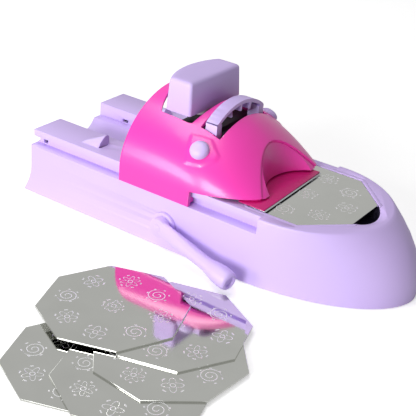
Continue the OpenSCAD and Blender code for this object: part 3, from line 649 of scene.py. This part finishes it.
# %% [markdown]
# The crest has a bowed opening for the press block and a slot for the arched handle. Both are
# cut with a tool of the opening's own shape: a box trimmed by two cylinders, and a plain box.
# Inside, a hook runs under each lip of the deck, and a boss stands behind each cap.

# %% Dome openings and fittings
CAP_D, CAP_TURN = 99.3, math.radians(39.3)
OPENING_HALF, OPENING_CORNER, BORE_STEP = 22.2, 2.4, 2.4


def cap_place(side):
    """Where a cap sits, as a matrix whose Z stands square to the dome. Side -1 is the near one."""
    place, normal = dome_point(CAP_D, CAP_TURN), dome_normal(CAP_D, CAP_TURN, 0.001)
    place.y *= side
    normal.y *= side
    return Matrix.Translation(place * MM) @ normal.to_track_quat("Z", "X").to_matrix().to_4x4()


def opening_corner(edge):
    """Whether an edge of the opening's tool is one of its four upright corners."""
    first, second = (corner.co for corner in edge.verts)
    return (abs(first.z - second.z) > 10 * MM
            and abs(abs(first.y + second.y) / 2 - OPENING_HALF * MM) < 0.1 * MM)


CAP_PLACES = (cap_place(1), cap_place(-1))
opening = block("opening", (63.3, -OPENING_HALF, 47.7), (90.7, OPENING_HALF, 107.7))
cut(opening, drum("front_arc", -1.3, 0, 92.0, 40, 110, 512), "INTERSECT")
cut(opening, drum("rear_arc", 106.2, 0, 42.3, 30, 120, 256), "INTERSECT")
with editing():
    pick("edges", opening_corner)
    bpy.ops.mesh.bevel(offset=OPENING_CORNER * MM, segments=8, affect="EDGES")
cut(dome, opening)
cut(dome, block("slot", (93.0, -21.3, 52.4), (104.4, 21.3, 100.0)))
soften(dome, 0.22, 2, 50)
for side, place in zip((1, -1), CAP_PLACES):
    hook = block("hook", (REAR + 1.4, 33.4, 27.2), (100.0, 38.5, 30.5))
    hook.scale.y = side
    cut(dome, hook, "UNION")
    boss = lathe("boss", ((0.0, -5.0), (3.6, -5.0), (3.6, -1.0), (0.0, -1.0)), 40)
    boss.matrix_world = place
    cut(dome, boss, "UNION")
    bore = lathe("bore", ((0.0, -7.0), (1.2, -7.0), (1.2, -BORE_STEP), (2.5, -BORE_STEP),
                          (2.5, 3.0), (0.0, 3.0)), 32)
    bore.matrix_world = place
    cut(dome, bore)
settle(dome, "carriage", PINK, ["hood"])

# %% [markdown]
# ## Mouth panel
# Behind the mouth the dome is closed by a concave panel that leaves only a gap over the scraper.
# It starts as a plug that fills the mouth, made from the dome's own sections. Its front is pared
# to the mouth's slant, a leaning cone scoops the hollow out, and a larger cone, with a slab along
# the slant, says how much stays behind the hollow, so that the panel gets an even wall.

# %% Mouth panel
PANEL, PANEL_FOOT, PANEL_INSET = 1.6, 36.4, 1.0
SCOOP = ((146.1, 22.46, 34.4), (153.6, 34.8, 56.0))  # distance, radius and height of its ends
PLUG_FROM, PLUG_LENGTH = 114.0, 24
SLANT = Vector((math.cos(MOUTH_LEAN), 0.0, math.sin(MOUTH_LEAN)))
RIM = Vector((MOUTH - STERN, 0.0, EDGE_Z))


def scoop(name, grow):
    """The hollow's cone, with its wall added to the radius: a cylinder whose top is moved."""
    (low_d, low_r, low_z), (high_d, high_r, high_z) = SCOOP
    tool = drum(name, low_d, 0, low_r + grow, low_z, high_z, 240)
    bpy.ops.object.transform_apply(location=True, rotation=False, scale=True)
    with editing():
        pick("verts", lambda v: v.co.z > (low_z + 1) * MM)
        ratio = (high_r + grow) / (low_r + grow)
        bpy.ops.transform.resize(value=(ratio, ratio, 1.0),
                                 center_override=((low_d - STERN) * MM, 0.0, high_z * MM))
        bpy.ops.transform.translate(value=((high_d - low_d) * MM, 0.0, 0.0))
    return tool


def pare(piece, place, facing):
    """Cuts a piece off with a plane, in millimetres, and closes the cut."""
    only(piece)
    with editing():
        bpy.ops.mesh.select_all(action="SELECT")
        bpy.ops.mesh.bisect(plane_co=Vector(place) * MM, plane_no=facing, use_fill=True,
                            clear_outer=True)
        tidy_faces()


def mouth_plug(name, inset):
    """The dome's inside from the crest to beyond the mouth, closed at both ends."""
    bpy.ops.mesh.primitive_grid_add(x_subdivisions=PLUG_LENGTH, y_subdivisions=ROWS, size=2.0)
    plug = newest(name)
    for corner in plug.data.vertices:
        d = PLUG_FROM + (corner.co.x + 1) / 2 * PLUG_LENGTH
        turn = (corner.co.y + 1) / 2 * math.pi
        corner.co = (dome_point(d, turn) - dome_normal(d, turn) * inset) * MM
    with editing():
        pick("edges", lambda e: e.is_boundary
             and max(v.co.z for v in e.verts) < (SIDE_Z + 0.1) * MM)
        bpy.ops.mesh.bridge_edge_loops()
        bpy.ops.mesh.select_all(action="SELECT")
        bpy.ops.mesh.fill_holes(sides=0)
        tidy_faces()
    return plug


panel = mouth_plug("front_panel", PANEL_INSET)
pare(panel, RIM - SLANT * 0.1, SLANT)
pare(panel, (0.0, 0.0, PANEL_FOOT), (0.0, 0.0, -1.0))
cut(panel, scoop("hollow_cone", 0.0))
behind = block("behind", (100.0, -40.0, 20.0), (150.0, 40.0, 70.0))
pare(behind, RIM - SLANT * PANEL, SLANT)
cut(behind, scoop("wall_cone", PANEL))
cut(panel, behind)
soften(panel, 0.25, 2, 50)
settle(panel, "carriage", PINK, ["mouth_panel"])

# %% [markdown]
# ## Screw caps
# Two domed caps hide the screws that hold the dome to its carriage. A cap is a turned part, so
# its profile, a thin rim and a low dome, is drawn once and spun; a shank plugs it into its bore.

# %% Screw caps
CAP_R, CAP_RIM, CAP_RISE = 4.6, 1.1, 2.6
cap_profile = [(0.0, -1.0), (2.4, -1.0), (2.4, 0.2), (4.5, 0.2), (4.7, 0.4), (4.7, 0.95)]
cap_profile += [(CAP_R * math.cos(a), CAP_RIM + CAP_RISE * math.sin(a))
                for a in map(math.radians, range(0, 90, 10))] + [(0.0, CAP_RIM + CAP_RISE)]
for side, place in zip(("left", "right"), CAP_PLACES):
    cap = lathe("cap_" + side, cap_profile, 56)
    cap.matrix_world = place
    settle(cap, "carriage", LILAC, ["screw_caps"])

# %% [markdown]
# ## Press block
# The block that the palm pushes is a tall crowned button: flat in front, straight at the sides
# and bowed at the rear. Its outline is a polygon whose corners are placed on that plan, and the
# crown is a row of insets, each a little higher and narrower than the last, as the mould is.

# %% Press block
BLOCK_HALF, BLOCK_FRONT, BULGE_AT, BULGE = 21.6, 86.7, 107.4, 41.0
BLOCK_REAR, BLOCK_FOOT, BLOCK_WALL, BLOCK_DEPTH = BULGE_AT - BULGE, 62.6, 2.0, 11.0
CROWN = ((76.8, 0.9), (77.45, 1.05), (77.95, 1.35), (78.3, 1.8), (78.52, 2.4), (78.66, 3.3),
         (78.74, 4.6), (78.78, 6.4))  # height and inset of each ring


def arc(d, y, radius, start, end, steps):
    """Points of an arc about (d, y), from one angle to another, in degrees."""
    turns = [math.radians(start + (end - start) * k / steps) for k in range(steps + 1)]
    return [(d + radius * math.cos(a), y + radius * math.sin(a)) for a in turns]


def block_outline(corner=1.6):
    """Plan of the block: a rounded front corner, a rounded rear corner and half of the bow."""
    y = BLOCK_HALF - corner
    lean = math.asin(y / (BULGE - corner))
    rear = BULGE_AT - (BULGE - corner) * math.cos(lean)
    meet = 180 - math.degrees(lean)
    half = (arc(BLOCK_FRONT - corner, y, corner, 0, 90, 10) + arc(rear, y, corner, 90, meet, 8)
            + arc(BULGE_AT, 0, BULGE, meet, 180, 20)[1:-1])
    return half + [(BLOCK_REAR, 0.0)] + [(d, -y) for d, y in reversed(half)]


def lift_top(rise):
    """Extrudes the selected faces straight up, or down, in millimetres."""
    bpy.ops.mesh.extrude_region_move(TRANSFORM_OT_translate={"value": (0.0, 0.0, rise * MM)})


def flat_shape(name, outline, z):
    """A flat face with that outline (distance from the stern, across), made of a circle."""
    bpy.ops.mesh.primitive_circle_add(vertices=len(outline), fill_type="NGON")
    piece = newest(name)
    for corner, (d, y) in zip(piece.data.vertices, outline):
        corner.co = Vector((d - STERN, y, z)) * MM
    return piece


press_block = flat_shape("palm_block", block_outline(), BLOCK_FOOT)
with editing():
    bpy.ops.mesh.select_all(action="SELECT")
    bpy.ops.mesh.normals_make_consistent(inside=False)
    middle = spot((BLOCK_REAR + BLOCK_FRONT) / 2, 0.0, 0.0).translation
    length, half, height = BLOCK_FRONT - BLOCK_REAR, BLOCK_HALF, BLOCK_FOOT
    for z, inset in CROWN:
        lift_top(z - height)
        new_length, new_half, height = BLOCK_FRONT - BLOCK_REAR - 2 * inset, BLOCK_HALF - inset, z
        bpy.ops.transform.resize(value=(new_length / length, new_half / half, 1.0),
                                 center_override=middle)
        length, half = new_length, new_half
    tidy_faces()
    pick("faces", lambda f: f.normal.z < -0.9)
    bpy.ops.mesh.inset(thickness=BLOCK_WALL * MM, depth=0.0)
    lift_top(BLOCK_DEPTH)
    tidy_faces()
print("top of the block:", max(v.co.z for v in press_block.data.vertices) / MM)
soften(press_block, 0.3, 2, 60)
settle(press_block, "press", LILAC, ["press_block"], 50)

# %% [markdown]
# ## Arched handle
# The handle is a band bent to an arc, with a wall behind it and ribs under it, like a small
# bridge. Its L-shaped section is drawn at one end and spun about the arc's own axis, and the
# ribs, legs and round ears that hold it on its pivots are joined on.

# %% Arched handle
ARCH_AT, ARCH_TOP, ARCH_R, ARCH_HALF, ARCH_TURN = 95.1, 69.2, 33.0, 20.3, 84.0
PIVOT_D, PIVOT_Z, EAR_R, EAR_IN, EAR_OUT = 100.1, 48.8, 5.4, 16.3, 19.5
LEG_FRONT, LEG_TOP = 101.6, 62.0
section = [(0.0, 0.0), (6.5, 0.0), (6.5, -1.8), (1.8, -1.8), (1.8, -5.2), (0.0, -5.2)]
bpy.ops.mesh.primitive_circle_add(vertices=len(section), fill_type="NGON")
arch = newest("arch_grip")
hub = Vector((0.0, 0.0, (ARCH_TOP - ARCH_R) * MM))
lean = Matrix.Rotation(math.radians(ARCH_TURN / 2), 3, "X")
for corner, (ahead, height) in zip(arch.data.vertices, section):
    corner.co = hub + lean @ Vector((ARCH_AT + ahead - STERN, 0.0, ARCH_R + height)) * MM
with editing():
    bpy.ops.mesh.select_all(action="SELECT")
    bpy.ops.mesh.spin(steps=60, angle=math.radians(ARCH_TURN), center=hub, axis=(1.0, 0.0, 0.0))
    pick("faces", lambda f: len(f.verts) > 4)
    bpy.ops.mesh.delete(type="ONLY_FACE")
    tidy_faces()
    for side in (1, -1):
        bpy.ops.mesh.select_all(action="SELECT")
        bpy.ops.mesh.bisect(plane_co=(0.0, side * (ARCH_HALF - 0.4) * MM, 0.0),
                            plane_no=(0.0, side, 0.0), use_fill=True, clear_outer=True)
    tidy_faces()
ends = [corner.co.y / MM for corner in arch.data.vertices]
print("arch band from", round(min(ends), 1), "to", round(max(ends), 1))
for tilt in (-16, 0, 16):
    rib = block("rib", (ARCH_AT, -0.6, 64.0), (101.3, 0.6, 68.2))
    rib.matrix_world = (Matrix.Translation(hub) @ Matrix.Rotation(math.radians(tilt), 4, "X")
                        @ Matrix.Translation(-hub))
    cut(arch, rib, "UNION")
for side in (1, -1):
    leg = block("leg", (ARCH_AT, EAR_IN, 56.9), (LEG_FRONT, ARCH_HALF, LEG_TOP))
    neck = block("ear_neck", (ARCH_AT, EAR_IN, PIVOT_Z), (LEG_FRONT, EAR_OUT, 57.9))
    cut(leg, neck, "UNION")
    ear = lathe("ear", ((0.0, EAR_IN), (EAR_R, EAR_IN), (EAR_R, EAR_OUT), (0.0, EAR_OUT)), 48)
    ear.matrix_world = spot(PIVOT_D, 0.0, PIVOT_Z) @ ACROSS
    cut(leg, ear, "UNION")
    leg.scale.y = side
    only(leg)
    bpy.ops.object.transform_apply(location=False, rotation=False, scale=True)
    with editing():
        tidy_faces()
    cut(arch, leg, "UNION")
soften(arch, 0.3, 2, 50)
settle(arch, "scraper", LILAC, ["arch_handle"])

# %% [markdown]
# ## Side lever
# The lever is a turned handle that swells to a knob with a dished end, and flattens where it
# meets its hub. It is spun as one profile, its root is pressed flat by moving its corners, and
# then it is laid in the direction of the real lever: a little down, and away from the wall.

# %% Side lever
SHAFT_D, SHAFT_Z, HANDLE_Y = 88.5, 12.5, -42.75
NECK, SWELL, FLAT = 3.4, 1.5, 0.42  # radii of the handle, and how flat its root is pressed
handle_profile = [(0.0, -3.4), (2.2, -3.0), (3.6, -1.8), (4.4, -0.2), (4.6, 1.5), (4.3, 7.0),
                  (3.9, 14.0), (3.55, 21.0), (NECK, 26.0), (NECK, 31.0)]
handle_profile += [(NECK + SWELL * smooth(t), 32 + 11 * t)
                   for t in (0.0, 0.15, 0.3, 0.45, 0.6, 0.75, 0.9, 1.0)]
handle_profile += [(4.9, 45.0), (4.85, 46.6), (4.65, 47.7), (4.3, 48.4), (3.8, 48.8),
                   (3.3, 49.0), (2.85, 48.95), (2.6, 48.7), (2.5, 48.2), (2.3, 47.85),
                   (1.6, 47.75), (0.0, 47.7)]
lever = lathe("lever_handle", handle_profile, 48)
for corner in lever.data.vertices:
    share = min(max((corner.co.z / MM - 1) / 23, 0.0), 1.0)
    corner.co.y *= FLAT + (1 - FLAT) * smooth(share)
lever.matrix_world = (spot(SHAFT_D, HANDLE_Y, SHAFT_Z) @ Matrix.Rotation(math.radians(-11), 4, "Z")
                      @ Matrix.Rotation(math.radians(98), 4, "Y"))
bpy.ops.object.transform_apply(location=True, rotation=True, scale=True)


def shaft_part(name, profile, steps=48):
    """A turned part about the lever's shaft: (radius, y) points, in millimetres."""
    rod = lathe(name, profile, steps)
    rod.matrix_world = spot(SHAFT_D, 0.0, SHAFT_Z) @ ACROSS
    bpy.ops.object.transform_apply(location=True, rotation=True, scale=True)
    return rod


cut(lever, shaft_part("hub", ((0.0, -44.7), (4.3, -44.7), (4.8, -44.5), (5.0, -44.0),
                              (5.0, -40.8), (0.0, -40.8))), "UNION")
cut(lever, block("wall_side", (60.0, -40.8, 0.0), (140.0, -30.0, 30.0)))
soften(lever, 0.25, 2, 50)
settle(lever, "lever", LILAC, ["side_lever"])
plug = shaft_part("lever_plug", ((0.0, -45.3), (1.2, -45.2), (1.8, -45.0), (2.0, -44.6),
                                 (2.0, -43.8), (0.0, -43.8)), 32)
settle(plug, "lever", LILAC, ["lever_screw"])

# %% [markdown]
# ## Base
# The casing is a hull like a boat's: nearly the same outline at every height, a little wider and
# longer towards the foot. It is a sheet wrapped round that outline, closed at both ends, and
# hollowed with an inner hull. Then the step for the track, the finger channel, the plate's bed
# and the thumb's dish are cut, and every sharp edge is rounded a little, as the mould's are. The
# well in front of the plate is narrow and deep, so its faces get painted shade: a dark colour
# that stands for the shadow inside it.

# %% Base shell
DECK_Z, LEDGE_Z, LIP_Z, TRACK, SHELL = 34.3, 26.5, 30.8, 139.3, 2.2
HULL_HALF, FLARE_Z, FLARE_SIDE, FLARE_STERN, HULL_CORNER = 38.9, 16, 1.2, 4.3, 1.2
BOW_START, BOW_START_SHIFT, BOW_TIP, BOW_RAKE, BOW_POWER = 130.0, 13.0, 203.3, 18.3, 2 / 1.9
RIM_Z, RIM_R = 33.4, 0.9
BED_D, BED_FOOT, PLATE_SEAT, PLATE_T, PLATE_HALF = 142.3, 31.4, 33.2, 0.8, 31.0
DISH_D, DISH_R, DISH_DEPTH = 169.8, 29.235, 3.0
WELL_FRONT, WELL_R, WELL_HALF = 179.0, 17.307, 12.84


def hull_ring(z, inset, bow_steps):
    """Outline of the casing at a height, from one stern corner round the bow to the other."""
    flare = max(0.0, 1 - z / FLARE_Z) ** 2
    half = HULL_HALF + FLARE_SIDE * flare - inset
    corner_d = inset - FLARE_STERN * flare + HULL_CORNER
    corner_y = half - HULL_CORNER
    start = BOW_START + BOW_START_SHIFT * (z / DECK_Z) ** 2
    tip = BOW_TIP - BOW_RAKE * (z / DECK_Z) ** 3 - inset
    points = arc(corner_d, -corner_y, HULL_CORNER, 180, 270, 4)
    for k in range(bow_steps + 1):
        a = math.radians(-90 + 180 * k / bow_steps)
        side = math.copysign(abs(math.sin(a)) ** BOW_POWER, a)
        points.append((start + (tip - start) * max(math.cos(a), 0.0) ** BOW_POWER, half * side))
    return points + arc(corner_d, corner_y, HULL_CORNER, 90, 180, 4)


def hull(name, levels, bow_steps=110):
    """A closed solid through the outlines at (height, inset) levels."""
    count = len(hull_ring(0.0, 0.0, bow_steps))
    bpy.ops.mesh.primitive_grid_add(x_subdivisions=count, y_subdivisions=len(levels) - 1, size=2.0)
    piece = newest(name)
    rings = [hull_ring(max(z, 0.0), inset, bow_steps) for z, inset in levels]
    for corner in piece.data.vertices:
        column = round((corner.co.x + 1) / 2 * count) % count
        row = round((corner.co.y + 1) / 2 * (len(levels) - 1))
        d, y = rings[row][column]
        corner.co = Vector((d - STERN, y, levels[row][0])) * MM
    with editing():
        tidy_faces()
        bpy.ops.mesh.fill_holes(sides=0)
        tidy_faces()
    return piece


def octagon(name, d, y, half, low, high, turn=0.0):
    """An eight-sided slab, by its half width over the flats, with a flat towards the bow."""
    slab = drum(name, d, y, half / math.cos(math.radians(22.5)), low, high, 8)
    slab.rotation_euler.z = math.radians(turn + 22.5)
    return slab


side_levels = [(z, 0.0) for z in (0.4, 1.2, 2.5, 4.0, 5.5, 7.0, 8.5, 10.0, 11.5, 13.0, 14.5, 16.0,
                                  20.5, 25.0, 29.5, RIM_Z)]
rim_levels = [(RIM_Z + RIM_R * math.sin(a), RIM_R * (1 - math.cos(a)))
              for a in map(math.radians, (22.5, 45, 67.5, 90))]
casing = hull("casing", side_levels + rim_levels)
cut(casing, hull("hollow", [(z, SHELL) for z in (-1.0, 2.5, 7.0, 11.5, 16.0, 24.3)], 60))
cut(casing, block("track_step", (-10.0, -60.0, LEDGE_Z), (TRACK, 60.0, 60.0)))
cut(casing, block("under_deck", (SHELL, -31.0, 20.0), (TRACK + SHELL, 31.0, LIP_Z)))
cut(casing, block("channel_gate", (-10.0, -18.35, 13.9), (3.2, 18.35, 60.0)))
cut(casing, block("bow_hollow", (141.5, -24.0, 20.0), (160.3, 24.0, 32.4)))
cut(casing, octagon("bed_hole", BED_D, 0, 33.0, BED_FOOT, 60.0))


def thumb_notch():
    """The shallow dish that a thumb rests in, and the well that lets it under the plate."""
    bpy.ops.mesh.primitive_uv_sphere_add(
        segments=96, ring_count=64, radius=DISH_R * MM,
        location=spot(DISH_D, 0.0, DECK_Z - DISH_DEPTH + DISH_R).translation)
    dish = newest("dish")
    well = drum("well", WELL_FRONT - WELL_R, 0, WELL_R, LEDGE_Z, 60.0, 96)
    sides = block("well_sides", (166.3, -WELL_HALF, 20.0), (190.0, WELL_HALF, 70.0))
    return cut(dish, cut(well, sides, "INTERSECT"), "UNION")


cut(casing, thumb_notch())
cut(casing, shaft_part("bush_hole", ((0.0, -50.0), (6.6, -50.0), (6.6, -33.0), (0.0, -33.0))))
soften(casing, 0.3, 2, 50)
settle(casing, "base", LILAC, ["base_shell"])


def paint_well_shade(piece):
    """Paints shade on the well's walls and floor: a dark colour that stands for the shadow in the
    well.
    """
    piece.data.materials.append(PAINTED_SHADE)
    for face in piece.data.polygons:
        d, y, z = face.center / MM + Vector((STERN, 0.0, 0.0))
        top = 33.4 if abs(face.normal.z) < 0.5 else 29.0
        if 164 < d < WELL_FRONT + 0.5 and abs(y) < 13.2 and 24.5 < z < top:
            face.material_index = 1


paint_well_shade(casing)

# %% [markdown]
# ## Plate bed
# The plate lies in an octagonal tray that is let into the bow. An eight-sided cylinder is inset
# on top to leave the thin border, its floor is pushed down, and the thumb's dish runs through.

# %% Plate bed
BORDER = 1.6
bed = octagon("bed", BED_D, 0, 32.9, BED_FOOT, DECK_Z)
bpy.ops.object.transform_apply(location=True, rotation=True, scale=True)
with editing():
    pick("faces", lambda f: f.normal.z > 0.9)
    bpy.ops.mesh.inset(thickness=BORDER * MM, depth=0.0)
    lift_top(PLATE_SEAT - DECK_Z)
    tidy_faces()
cut(bed, thumb_notch())
soften(bed, 0.2, 2, 50)
settle(bed, "base", LILAC, ["plate_bed"])
paint_well_shade(bed)

# %% [markdown]
# ## Design plates
# Six plates: one in the bed and five in a loose pile. A plate is a stamped octagon of thin sheet,
# so a very small bevel breaks its edges, and that bevel is the bright line round each plate.

# %% Design plates
PLATES = [("bed_plate", "base", (BED_D, 0.0, PLATE_SEAT), 0.0)]
# distance from the stern, place across and turn of each loose plate, the lowest first
PILE = ((121.3, -134.3, 109.3), (144.0, -129.6, 106.5), (145.4, -108.7, 84.9),
        (135.0, -91.9, 106.3), (107.6, -99.4, 109.4))
PLATES += [(f"spare_plate_{i + 1}", f"spare_plate_{i + 1}", (d, y, PLATE_T * i), turn)
           for i, (d, y, turn) in enumerate(PILE)]
for number, (node, body, (d, y, z), turn) in enumerate(PLATES):
    plate = octagon("design_" + node, d, y, PLATE_HALF, z, z + PLATE_T, turn)
    soften(plate, 0.12, 2, 30)
    finish = engraved(f"engraved_{number}", ((d - STERN) * MM, y * MM, 0.0), math.radians(turn),
                      0.13 + 0.29 * number)
    settle(plate, body, finish, [node], 20)

# %% [markdown]
# ## Moulded parts kept from the frame
# The deck, the finger rest, the carriage and the other inner parts already have their right
# shape. A copy of each is merged, its flat areas are cleaned of needless edges, and its sharp
# edges are rounded, because nothing that is moulded or turned has a knife edge.


# %% Softened parts
def softened(node, body, width, finish=None):
    """A finished piece made of a plain part: a merged copy with its edges rounded."""
    piece = only(linked(node + "_part", nodes[node].data.copy()))
    with editing():
        bpy.ops.mesh.select_all(action="SELECT")
        bpy.ops.mesh.remove_doubles(threshold=0.000002)
        bpy.ops.mesh.dissolve_limited(angle_limit=math.radians(1.0))
    soften(piece, width, 2, 35)
    settle(piece, body, finish or finishes[slot_of[node]], [node])


for node, body, width in (
    ("deck", "base", 0.3), ("finger_rest", "finger_rest", 0.4), ("bottom_cover", "base", 0.2),
    ("carriage_frame", "carriage", 0.2), ("scraper_yoke", "scraper", 0.15),
    ("scraper_blade", "scraper", 0.05), ("press_stem", "press", 0.15),
    ("stem_bush", "carriage", 0.15), ("pad_holder", "press", 0.3), ("stamp_pad", "press", 0.3),
    ("lever_bush", "base", 0.2), ("grip_strips", "base", 0.2), ("pivot_pins", "carriage", 0.15),
    ("guide_posts", "base", 0.15),
):
    # the scraper's yoke takes the darker pink, a painted shade for the shadow in the dome's mouth
    softened(node, body, width, {"scraper_yoke": SHADED_PINK}.get(node))

# %% [markdown]
# ## Springs
# A spring is a small circle, the wire, that a Screw modifier carries round and up. Its ends are
# closed with a face. Both upright springs stand between a fixed seat and a part that moves.


# %% Springs
def spring(name, radius, wire, length, turns, place):
    """A coil along the Z axis of its place, in millimetres."""
    bpy.ops.mesh.primitive_circle_add(vertices=12, radius=wire / 2 * MM)
    piece = newest(name)
    with editing():
        bpy.ops.transform.rotate(value=math.pi / 2, orient_axis="X",
                                 center_override=(0.0, 0.0, 0.0))
        bpy.ops.transform.translate(value=(radius * MM, 0.0, wire / 2 * MM))
    coil = piece.modifiers.new("coil", "SCREW")
    coil.angle, coil.iterations = math.tau, turns
    coil.screw_offset = (length - wire) / turns * MM
    coil.steps = coil.render_steps = 32
    bpy.ops.object.modifier_apply(modifier=coil.name)
    with editing():
        bpy.ops.mesh.select_all(action="SELECT")
        bpy.ops.mesh.fill_holes(sides=0)
        tidy_faces()
    piece.matrix_world = place
    return piece


REST_D, STEM_D = 75.0, 78.0
return_spring = spring("return_spring", 4.0, 0.9, 11.4, 5, spot(REST_D, 0.0, 19.35))
settle(return_spring, "base", WIRE, ["rest_spring"])
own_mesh(return_spring)
lifting_spring = spring("lifting_spring", 5.6, 1.2, 12.9, 4, spot(STEM_D, 0.0, 57.05))
settle(lifting_spring, "carriage", WIRE, ["press_spring"])
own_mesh(lifting_spring)
tilt_spring = spring("tilt_spring", 3.1, 0.7, 4.2, 3, spot(PIVOT_D, 13.4, PIVOT_Z)
                     @ Matrix.Rotation(math.radians(90), 4, "X"))
settle(tilt_spring, "scraper", WIRE, ["scraper_spring"])

# %% [markdown]
# ## Screws, shaft and cam
# One screw is turned on the lathe with a low round head, and its cross recess is cut with two
# small bars. It is made in three sizes: long ones for the bottom cover, short ones for the press
# block, and those under the dome's caps. The lever's shaft is a plain turned rod.


# %% Screws, shaft and cam
def screw(name, head, thick, shank, reach):
    """A screw along Z, its head above the origin and its shank below, in millimetres."""
    piece = lathe(name, ((0.0, -reach), (shank * 0.7, -reach), (shank, 0.5 - reach), (shank, 0.0),
                         (head, 0.0), (head, thick * 0.5), (head * 0.86, thick * 0.85),
                         (head * 0.55, thick), (0.0, thick)), 40)
    bar, narrow, deep = head * 0.62, 0.35, 0.6
    for long, wide in ((bar, narrow), (narrow, bar)):
        cut(piece, block("cross", (STERN - long, -wide, thick - deep),
                         (STERN + long, wide, thick + 1)))
    return piece


def drive(name, spots, body, replaced, *sizes):
    """Makes a screw once and sets it, or a copy of it, at each place."""
    first = screw(name, *sizes)
    copies = [linked(f"{name}_{number}", first.data.copy()) for number in range(1, len(spots))]
    for piece, place in zip([first] + copies, spots):
        piece.matrix_world = place
        settle(piece, body, PLATED, [replaced])


DOWN = Matrix.Rotation(math.pi, 4, "X")  # for a screw that is driven from below
COVER_SPOTS = ((12.0, 33.5), (104.0, 33.5), (175.0, 17.0))
drive("cover_screw", [spot(d, side * y, 2.4) @ DOWN for d, y in COVER_SPOTS for side in (1, -1)],
      "base", "cover_screws", 2.4, 1.2, 1.2, 8.8)
drive("block_screw", [spot(STEM_D, side * 13.0, 70.0) @ DOWN for side in (1, -1)],
      "press", "stem_screws", 2.0, 1.2, 1.1, 5.6)
STEP = Matrix.Translation((0.0, 0.0, -BORE_STEP * MM))
drive("dome_screw", [place @ STEP for place in CAP_PLACES],
      "carriage", "hood_screws", 2.4, 1.3, 1.2, 8.3)
shaft = shaft_part("cross_shaft", ((0.0, -43.7), (1.9, -43.7), (2.2, -43.4), (2.2, 17.7),
                                   (1.9, 18.0), (0.0, 18.0)))
settle(shaft, "lever", PLATED, ["lever_shaft"])
softened("lift_cam", "lever", 0.2)
